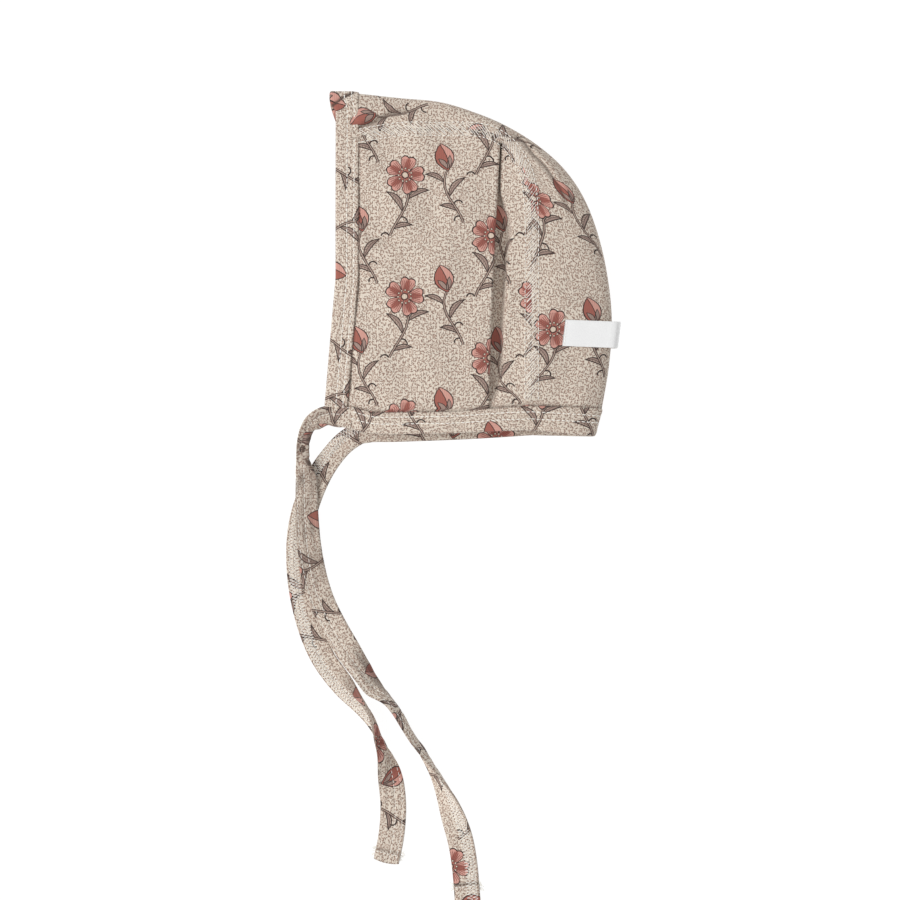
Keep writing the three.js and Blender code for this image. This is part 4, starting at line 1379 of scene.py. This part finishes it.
class Motifs:
    """Gathers the masks of the sprays: dark outlines, stems and leaves, and the petals' two colours."""

    def __init__(self):
        self.masks = {}

    def add(self, kind, mask):
        self.masks[kind] = self.masks[kind].most(mask) if kind in self.masks else mask

    def leaf(self, x, y, length, width, bend):
        distance, level = leaf_marks(x, y, length, width, bend)
        hatch = ((x + level.abs()) / 1.5).wrap(-0.5, 0.5).abs() * 1.5 - 0.11
        self.add("leaf", distance.within())
        self.add("shade", distance.most(level).within())
        self.add("dark", (distance.abs() - 0.25).within())
        self.add("dark", (level.abs() - 0.11).most(distance).within())
        self.add("dark", hatch.most(distance).most(level * -1).within())

    def stem(self, x, y, curve, low, high, half_width=0.66):
        """A stem from high down to low along the y axis, bowed and swayed by curve."""
        middle, half = (low + high) / 2, (high - low) / 2
        height = (y - middle) / half
        away = (x - (1 - height * height) * (height * curve[1] + curve[0])).abs()
        ends = (y - middle).abs() - half
        self.add("dark", (away - half_width).most(ends).within())
        self.add("leaf_core", (away - half_width * 0.38).most(ends).within())

    def curl(self, x, y, radius):
        """A tendril: half a ring above the x axis."""
        away = ((x * x + y * y).power(0.5) - radius).abs()
        self.add("dark", (away - 0.34).most(y * -1).within())

    def blossom(self, x, y, radius):
        """A wild rose seen from the front: five notched petals, veins, and a ring of stamens."""
        r = (x * x + y * y).power(0.5)
        angle = y.op("ARCTAN2", x)
        petal = (angle - math.pi / 2).wrap(-math.pi / 5, math.pi / 5)
        t = petal.abs() / (math.pi / 5)
        edge = (t * 0.35 + 0.92 - t * t * t * 0.80) * radius
        shape = r - edge
        between = r * (math.pi / 5 - petal.abs())
        veins = (petal * 15).wrap(-1, 1).abs() * r * 0.066
        self.add("petal", shape.within())
        self.add("petal_line", (shape.abs() - 0.3).within())
        self.add("petal_line", (between - 0.22).most(radius * 0.2 - r).most(shape).within())
        self.add("vein", (veins - 0.14).most(radius * 0.3 - r).most(r - radius * 0.84).within())
        low_light = (t * 1.6 - 0.8) + (r / radius - 0.55) * 1.6
        self.add("rust", (low_light + 0.1).most(shape).within(0.3))
        stamen = angle.wrap(-math.pi / 11, math.pi / 11)
        dot_x = r - radius * 0.34
        dot_y = r * stamen
        dot = (dot_x * dot_x + dot_y * dot_y).power(0.5)
        self.add("cream", (dot - 0.36).within())
        self.add("petal_line", ((dot - 0.46).abs() - 0.12).within())
        self.add("petal_line", ((r - radius * 0.17).abs() - 0.24).within())
        self.add("cream", (r - radius * 0.13).within())
        self.add("petal_line", (r - radius * 0.06).within())

    def bud(self, x, y, height, width):
        """A closed bud on the origin, upright: wrapped petals, with sepals round its foot."""
        t = (y - height * 0.46) / (height * 0.54)
        body = (1 - t * t) * (width / 2)
        distance = x.abs() - body
        fold = x - (1 - t * t) * (width * 0.12) + t * 0.6
        self.add("petal", distance.within())
        self.add("rust", distance.most(fold).within())
        self.add("petal_line", (distance.abs() - 0.28).within())
        self.add("petal_line", (fold.abs() - 0.2).most(distance).within())
        for turn in (-28, 24):
            a, b = turned(y, x, turn)
            distance, level = leaf_marks(a, b, height * 0.52, width * 0.24, 0.4)
            self.add("sepal", distance.within())
            self.add("petal_line", (distance.abs() - 0.18).within())


def stem_place(curve, low, high, y):
    """How far a stem is from its axis at the height y."""
    height = (y - (low + high) / 2) / ((high - low) / 2)
    return (1 - height * height) * (height * curve[1] + curve[0])


def draw_sprays(u, v):
    """The print's motifs: a rose spray and a bud spray in half-drop repeat, in millimetres of cloth."""
    motifs = Motifs()
    sprays = (
        ((9.0, 14.0), -14, (3.4, 4.2), -33.0, -2.0, (
            (-11.0, 38, 11.0, 2.4, 1.5), (-17.5, 142, 12.5, 2.6, -1.8), (-26.5, 26, 9.5, 2.1, 1.2),
        ), ((-22.0, 2.3), (-31.0, -2.0))),
        ((29.5, 17.0), 16, (-3.0, -3.4), -27.0, 0.0, (
            (-6.0, 140, 10.0, 2.2, -1.4), (-13.5, 36, 12.0, 2.5, 1.7), (-21.0, 146, 9.0, 2.1, -1.2),
        ), ((-18.0, 2.0), (-25.0, -1.8))),
    )
    for origin, turn, curve, low, high, leaves, curls in sprays:
        x, y = repeated(u, v, origin, PRINT_CELL, turn)
        motifs.stem(x, y, curve, low, high)
        for at, degrees, length, width, bend in leaves:
            motifs.leaf(*turned(x - stem_place(curve, low, high, at), y - at, degrees), length, width, bend)
        for at, radius in curls:
            motifs.curl(x - stem_place(curve, low, high, at) - radius, y - at, abs(radius))
        if high < 0:
            motifs.blossom(x, y, 9.2)
        else:
            motifs.bud(x, y, 12.5, 9.0)
    return motifs.masks


CREAM = srgb(225, 213, 198)
GROUND_LEAF = srgb(174, 149, 134)
GROUND_LINE = srgb(138, 114, 102)
MOTIF_DARK = srgb(50, 38, 36)
MOTIF_LEAF = srgb(178, 155, 142)
MOTIF_SHADE = srgb(160, 136, 126)
PETAL_LIGHT = srgb(211, 157, 144)
PETAL_RUST = srgb(164, 98, 86)
PETAL_VEIN = srgb(122, 68, 62)
STAMEN_CREAM = srgb(216, 200, 182)
WRONG_SIDE = srgb(216, 206, 193)
# Colour towards which painted shade darkens the cloth
CLOTH_SHADE = srgb(84, 68, 60)
# Grooves between the knit's ribs: partly print that misses them, partly painted shade
RIB_SHADE = srgb(104, 86, 77)
THREAD_COLOURS = srgb(240, 236, 226), srgb(253, 251, 246)
SATIN_COLOURS = srgb(238, 238, 239), srgb(252, 252, 251)


def print_colour(tree, u, v):
    """Colour of the printed cloth at u, v in millimetres."""
    first = scattered_leaves(tree, u, v, 1.60, 0.86, 0.31, 0.14, 0.0)
    second = scattered_leaves(tree, u, v, 1.45, 0.68, 0.21, -0.18, 7.3)
    rosette = scattered_rosettes(tree, u, v, 10.0)
    ground = blend_colour(tree, first.within(0.08), CREAM, GROUND_LEAF)
    ground = blend_colour(tree, second.within(0.08), ground, GROUND_LINE)
    ground = blend_colour(tree, (rosette - 1.6).within() * 0.8, ground, CREAM)
    ground = blend_colour(tree, ((rosette - 1.3).abs() - 0.22).within(0.05) * 0.8, ground, GROUND_LEAF)
    ground = blend_colour(tree, (rosette - 0.55).within(0.05) * 0.8, ground, GROUND_LEAF)
    masks = draw_sprays(u, v)
    colour = ground
    for kind, over in (
        ("leaf", MOTIF_LEAF), ("shade", MOTIF_SHADE), ("dark", MOTIF_DARK), ("leaf_core", MOTIF_LEAF),
        ("petal", PETAL_LIGHT), ("rust", PETAL_RUST), ("vein", PETAL_VEIN), ("sepal", MOTIF_SHADE),
        ("petal_line", MOTIF_DARK), ("cream", STAMEN_CREAM),
    ):
        colour = blend_colour(tree, masks[kind], colour, over)
    return colour


def new_material(name, values):
    """A material with those values on its shader, its node tree and the shader."""
    material = bpy.data.materials.new(name)
    material.use_nodes = True
    shader = material.node_tree.nodes["Principled BSDF"]
    for socket, value in values.items():
        shader.inputs[socket].default_value = value
    return material, material.node_tree, shader


def cloth_places(tree):
    """Where a place is on the flat cloth, in millimetres."""
    place = tree.nodes.new("ShaderNodeUVMap")
    place.uv_map = "cloth"
    return [distance * 1000 for distance in split(tree, place.outputs[0])]


def attribute_field(tree, name):
    """A number that is kept at the points of a mesh."""
    node = tree.nodes.new("ShaderNodeAttribute")
    node.attribute_name = name
    return Field(tree, node.outputs["Fac"])


def add_bump(tree, shader, height, strength, distance):
    """Fine relief of that height."""
    bump = tree.nodes.new("ShaderNodeBump")
    bump.inputs["Strength"].default_value = strength
    bump.inputs["Distance"].default_value = distance
    tree.links.new(height.socket, bump.inputs["Height"])
    tree.links.new(bump.outputs[0], shader.inputs["Normal"])


def cloth_material(name, knit_turned):
    """Printed cotton jersey: the print, a fine rib knit in relief, a paler wrong side, and painted shade from
    the shade attribute and in the ribs' grooves.
    """
    material, tree, shader = new_material(name, {
        "Roughness": 0.92,
        "Specular IOR Level": 0.25,
        "Sheen Weight": 0.12,
        "Sheen Roughness": 0.6,
    })
    u, v = cloth_places(tree)
    wale, course = (v, u) if knit_turned else (u, v)
    columns = (wale / WALE_PITCH).wrap(-0.5, 0.5).abs()
    colour = print_colour(tree, u, v)
    colour = blend_colour(tree, attribute_field(tree, "inside") * 0.72, colour, WRONG_SIDE)
    # Painted shade kept at the points of each mesh: creases, seams, needle holes, tape edges, the pleat's
    # valley and the ties
    colour = blend_colour(tree, attribute_field(tree, "shade"), colour, CLOTH_SHADE)
    # The grooves between the ribs: partly print that misses them, partly painted shade
    colour = blend_colour(tree, (columns * 2).power(3.0) * 0.3, colour, RIB_SHADE)
    tree.links.new(colour, shader.inputs["Base Color"])
    rows = ((course / COURSE_PITCH + columns * 0.7) * (2 * math.pi)).op("SINE")
    fibre = noise(tree, vector_field(tree, u, v), 2.2, 3.0)
    add_bump(tree, shader, columns * -1.6 + rows * 0.22 + fibre * 0.8, 0.5, 0.00012)
    return material


def thread_material():
    """White cotton thread, slightly flecked."""
    material, tree, shader = new_material("cotton_thread", {"Roughness": 0.7, "Sheen Weight": 0.2})
    place = tree.nodes.new("ShaderNodeTexCoord")
    fleck = tree.nodes.new("ShaderNodeTexNoise")
    fleck.inputs["Scale"].default_value = 900.0
    tree.links.new(place.outputs["Object"], fleck.inputs["Vector"])
    colour = blend_colour(tree, Field(tree, fleck.outputs[0]), *THREAD_COLOURS)
    tree.links.new(colour, shader.inputs["Base Color"])
    return material


def label_material():
    """Bare satin ribbon, with a fine slanting weave."""
    material, tree, shader = new_material("satin_ribbon", {"Roughness": 0.42, "Sheen Weight": 0.1})
    u, v = cloth_places(tree)
    weave = ((u / 0.34 + v / 0.9) * (2 * math.pi)).op("SINE") * ((v / 0.22) * (2 * math.pi)).op("SINE")
    fleck = noise(tree, vector_field(tree, u, v), 1.6, 2.0)
    colour = blend_colour(tree, fleck, *SATIN_COLOURS)
    tree.links.new(colour, shader.inputs["Base Color"])
    add_bump(tree, shader, weave + fleck * 2, 0.35, 0.00006)
    return material


def floor_material():
    material, _, _ = new_material("pale_floor", {
        "Base Color": (0.12, 0.12, 0.12, 1),
        "Roughness": 1.0,
        "Specular IOR Level": 0.0,
        "Emission Color": (1, 1, 1, 1),
        "Emission Strength": 0.95,
    })
    return material


# Camera, light and floor

def add_camera():
    """A camera straight above, with a long lens, that sees what the photograph shows."""
    middle = FRAME_PIXELS / 2
    x = (middle - ORIGIN_PIXEL[0]) * METRES_PER_PIXEL
    y = (ORIGIN_PIXEL[1] - middle) * METRES_PER_PIXEL
    data = bpy.data.cameras.new("camera")
    data.lens = CAMERA_LENS
    data.sensor_width = SENSOR_WIDTH
    data.clip_end = 20
    camera = bpy.data.objects.new("camera", data)
    camera.location = (x, y, FRAME_PIXELS * METRES_PER_PIXEL * CAMERA_LENS / SENSOR_WIDTH)
    bpy.context.scene.collection.objects.link(camera)
    bpy.context.scene.camera = camera


def add_light():
    """A bright room and one broad lamp from the left."""
    world = bpy.data.worlds.new("studio")
    bpy.context.scene.world = world
    world.use_nodes = True
    world.node_tree.nodes["Background"].inputs[0].default_value = (1, 1, 1, 1)
    world.node_tree.nodes["Background"].inputs[1].default_value = WORLD_STRENGTH
    key = bpy.data.lights.new("key", "SUN")
    key.energy = KEY_STRENGTH
    key.angle = KEY_SPREAD
    lamp = bpy.data.objects.new("key", key)
    lamp.rotation_euler = KEY_TURN
    bpy.context.scene.collection.objects.link(lamp)


def add_floor():
    reach = FLOOR_REACH
    square = [(-reach, -reach, 0), (reach, -reach, 0), (reach, reach, 0), (-reach, reach, 0)]
    make_object("floor", square, [[0, 1, 2, 3]], floor_material())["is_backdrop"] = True


# Relief and shade of the bindings and ties

def band_relief(row_edge, seed):
    """Relief of a binding: grooves along its two rows of stitches and puckers between them."""
    def relief(along, offset):
        total = 0.0
        for row in STITCH_ROWS:
            total = total - 0.00028 * bell(offset - (row_edge - row), 0.00055)
        near_rows = bell(offset - row_edge + 0.0039, 0.0028)
        slow = waves(along, offset * 3, 0.012, seed)
        return total + 0.00007 * beat(along, STITCH_PITCH, 0.8, 0.004, seed) * near_rows + 0.00014 * slow
    return relief


def tie_relief(frames, hem_length, seed, gathers, creases):
    """Relief of a tie: two stitched rows near its closed edge, gathers, creases and a thicker hem."""
    hem_line = frames["along"][-1] - hem_length

    def relief(along, offset):
        x, y = plan_places(frames, along, offset)
        total = 0.00010 * waves(along, offset * 3, 0.010, seed)
        for start, full, fading, stop, depth in gathers:
            strength = smooth(along, start, full) * (1 - smooth(along, fading, stop))
            total = total + depth * strength * waves(along * 0.16, offset, 0.0036, seed + 1)
        for points, half_width, depth, _ in creases:
            away, _ = line_distance(x, y, points)
            total = total - depth * bell(away, half_width)
        for row in TIE_STITCH_ROWS:
            total = total - 0.0002 * bell(offset - (TIE_WIDTH / 2 - row), 0.0005)
        hem = smooth(along, hem_line, hem_line + 0.0008)
        return total + 0.00035 * hem - 0.00035 * bell(along - hem_line + 0.0002, 0.0006)
    return relief


def tie_shade(frames, hem_length, creases, angle):
    """Painted shade: in the hollows of the gathers and creases, in the needle holes of the hem, and on the
    side that rolls away from the light.
    The tie that has creases is the one that is gathered from its start."""
    gathered = bool(creases)
    hem_line = frames["along"][-1] - hem_length
    rolled = smooth(np.abs(np.sin(angle)), 0, 0.5)

    def shade(along, offset, top):
        x, y = plan_places(frames, along, offset)
        holes = (0.84 + 0.15 * np.sin(2 * math.pi * offset / 0.0016)) * (1.0 if gathered else 0.5)
        total = holes * bell(along - hem_line, 0.0007)
        strength = smooth(along, 0.006, 0.016) * (1 - smooth(along, 0.085, 0.125))
        uneven = 0.33 + 0.15 * waves(along * 0.2, offset, 0.0030, seed=51)
        total = np.maximum(total, gathered * strength * uneven)
        away_side = smooth(-offset, -0.002, 0.004) * np.interp(along, frames["along"], rolled)
        total = np.maximum(total, 0.5 * top * away_side)
        for points, half_width, _, darkness in creases:
            away, _ = line_distance(x, y, points)
            total = np.maximum(total, top * darkness * bell(away, half_width))
        return total
    return shade


def frays(tape, along, seed):
    """Loose thread ends that stick out at both edges of a tie, at those places along it."""
    rng = np.random.default_rng(seed)
    frames = tape["frames"]
    part = np.linspace(0, 1, 6)[None, :, None]
    inset = np.interp(along, frames["along"], tape["width"]) * 0.47
    rows = np.interp(along, frames["along"], np.arange(len(frames["along"]))).astype(int)
    tangent = frames["tangent"][rows]
    paths = []
    for sign in (-1, 1):
        start, _ = on_tape(tape, "top", along, inset * sign, np.full(len(along), -0.0006))
        lean = rng.uniform(-0.9, 0.9, (len(along), 1))
        length = rng.uniform(0.0014, 0.0034, (len(along), 1))
        bend = rng.uniform(-0.5, 0.5, (len(along), 1))
        way = unit(frames["side"][rows] * sign + tangent * lean)
        reach = (way * length)[:, None] * part
        paths.append(start[:, None] + reach + (tangent * bend * length)[:, None] * part**2)
    paths = np.concatenate(paths)
    paths[..., 2] = np.maximum(paths[..., 2], 0.0003)
    return paths, np.broadcast_to([0.0, 0.0, 1.0], paths.shape), 0.00016


def cross_row(tape, face, along, radius=STITCH_RADIUS * 0.7, pitch=0.0018, length=0.0013):
    """A row of stitches across a tape."""
    half = float(np.interp(along, tape["frames"]["along"], tape["width"])) / 2 - 0.0006
    places = np.arange(-half, half - length, pitch)[:, None]
    part = np.linspace(0, 1, 6)[None, :]
    offset = places + part * length
    height = np.broadcast_to(hump(part, radius, 1.5, 0.7), offset.shape)
    points, normals = on_tape(tape, face, np.broadcast_to(along, offset.shape), offset, height)
    return points, normals, radius


# The pieces of the bonnet

def finish_piece(piece, slot, *nodes):
    """Fixes a piece to the body and hides the solids that it stands for. slot, the name of its finish, is not
    used.
    """
    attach(piece, "root")
    if nodes:
        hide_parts(*nodes)


def build_tie(name, rows, start_height, node, seed, gathers, creases, hem_length, looped_face, materials):
    """A tie with its stitching, hem and frayed thread ends."""
    binding, thread = materials
    frames, width, angle = tie_frames(rows, start_height)
    end = frames["along"][-1]
    piece, tape = make_tape(
        name, frames, width, TAPE_THICKNESS, binding,
        relief=tie_relief(frames, hem_length, seed, gathers, creases),
        fold=np.maximum(width, TIE_FOLDED_WIDTH),
        cup=TIE_CUP * np.sin(angle) ** 2 * np.sign(-angle + 1e-9),
        columns=38,
        shade=tie_shade(frames, hem_length, creases, angle),
        bulge=TIE_BULGE,
    )
    finish_piece(piece, "printed_binding", node)
    plain_face = "bottom" if looped_face == "top" else "top"
    closed_edge = TIE_WIDTH / 2
    groups = [dashes(tape, plain_face, closed_edge - row, TIE_STITCH_RADIUS) for row in TIE_STITCH_ROWS]
    for near, far in zip(LOOP_ROWS, LOOP_ROWS[1:]):
        groups += loops(tape, looped_face, (closed_edge - near, closed_edge - far))
    groups += [cross_row(tape, face, end - hem_length + 0.0013) for face in ("top", "bottom")]
    groups.append(frays(tape, end - hem_length + np.linspace(-0.0008, 0.0030, 12), seed + 2))
    stitches = make_threads(name + "_stitches", groups, thread)
    finish_piece(stitches, "printed_binding")
    tuple(frames["centre"][0])


def declare_sheet(grid, uv):
    """Works out the size and the area that a piece of cloth was cut to, and does nothing with them."""
    across = uv[..., 0].max() - uv[..., 0].min()
    along = uv[..., 1].max() - uv[..., 1].min()
    a, b, c, d = corners(grid)
    halves = np.cross(b - a, d - a), np.cross(b - c, d - c)
    area = sum(np.linalg.norm(half, axis=-1) for half in halves).sum() / 2
    float(min(area, across * along))


def joined_tree(*pieces):
    """A tree of the faces of several pieces, to lay threads on."""
    vertices, faces, offset = [], [], 0
    for piece in pieces:
        mesh = piece.data
        vertices += [tuple(vertex.co) for vertex in mesh.vertices]
        faces += [[corner + offset for corner in polygon.vertices] for polygon in mesh.polygons]
        offset += len(mesh.vertices)
    return BVHTree.FromPolygons(vertices, faces)


def build_ties(binding, thread):
    """The two ties. The near one starts at the height of the near side's neck edge."""
    near_start = float(near_height(*NECK_NEAR_ROWS[0][:2]))
    build_tie("near_tie_tape", TIE_NEAR_ROWS, near_start, "tie_near", 31, TIE_NEAR_GATHERS, TIE_NEAR_CREASES,
              TIE_NEAR_HEM, "bottom", (binding, thread))
    build_tie("far_tie_tape", TIE_FAR_ROWS, SOLID_BAND_THICKNESS / 2, "tie_far", 37, TIE_FAR_GATHERS, (),
              TIE_FAR_HEM, "top", (binding, thread))


def build_cloths(jersey):
    """The two side panels and the centre strip."""
    cloths = []
    for name, node, outward, (grid, uv, shade) in (
        ("near_panel_cloth", "side_panel_near", 1, panel_grid(True)),
        ("far_panel_cloth", "side_panel_far", -1, panel_grid(False)),
        ("centre_strip_cloth", "centre_strip", -1, strip_grid()),
    ):
        cloth = cloth_shell(name, grid, uv, shade, CLOTH_THICKNESS, jersey, outward)
        finish_piece(cloth, "printed_jersey", node)
        declare_sheet(grid, uv)
        cloths.append(cloth)
    return cloths


def build_bindings(binding, thread):
    """The face and neck bindings and the label, and the stitches of all three."""
    face, face_width = face_frames()
    face_piece, face_tape = make_tape("face_binding", face, face_width, BAND_THICKNESS, binding,
                                      face_relief(face), shade=face_shade(face))
    finish_piece(face_piece, "printed_binding", "face_band")
    neck, neck_width = neck_frames()
    from_end = np.minimum(neck["along"], neck["along"][-1] - neck["along"])
    neck_thickness = mix(TAPE_THICKNESS, BAND_THICKNESS, smooth(from_end, 0, 0.009))
    neck_piece, neck_tape = make_tape("neck_binding", neck, neck_width, neck_thickness, binding,
                                      band_relief(NECK_ROW_EDGE, seed=43))
    finish_piece(neck_piece, "printed_binding", "neck_band")
    label_piece, label_tape = make_tape("satin_label", label_frames(), LABEL_WIDTH, LABEL_THICKNESS,
                                        label_material())
    finish_piece(label_piece, "satin_label", "label")
    groups = [cross_row(label_tape, "top", 0.0009, radius=0.00014, pitch=0.0016, length=0.0010)]
    for row in STITCH_ROWS:
        groups.append(dashes(face_tape, "top", FACE_BAND_WIDTH / 2 - row))
        groups.append(dashes(neck_tape, "top", NECK_ROW_EDGE - row))
    finish_piece(make_threads("binding_stitches", groups, thread), "printed_binding")


def build_seams(near_panel, far_panel, strip, thread):
    """The threads of the two flat seams, laid on the cloth."""
    for name, panel, far in (("near_seam_threads", near_panel, False), ("far_seam_threads", far_panel, True)):
        threads = make_threads(name, seam_threads(joined_tree(panel, strip), far), thread)
        finish_piece(threads, "printed_jersey")


def build():
    add_camera()
    add_light()
    add_floor()
    bpy.context.scene.view_settings.view_transform = "Standard"
    jersey = cloth_material("printed_jersey", False)
    binding = cloth_material("printed_binding", True)
    thread = thread_material()
    build_ties(binding, thread)
    cloths = build_cloths(jersey)
    build_bindings(binding, thread)
    build_seams(*cloths, thread)


build()
boxes = {"cad": cad_box, "visual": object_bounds()}
{name: [list(corner) for corner in box] for name, box in boxes.items()}
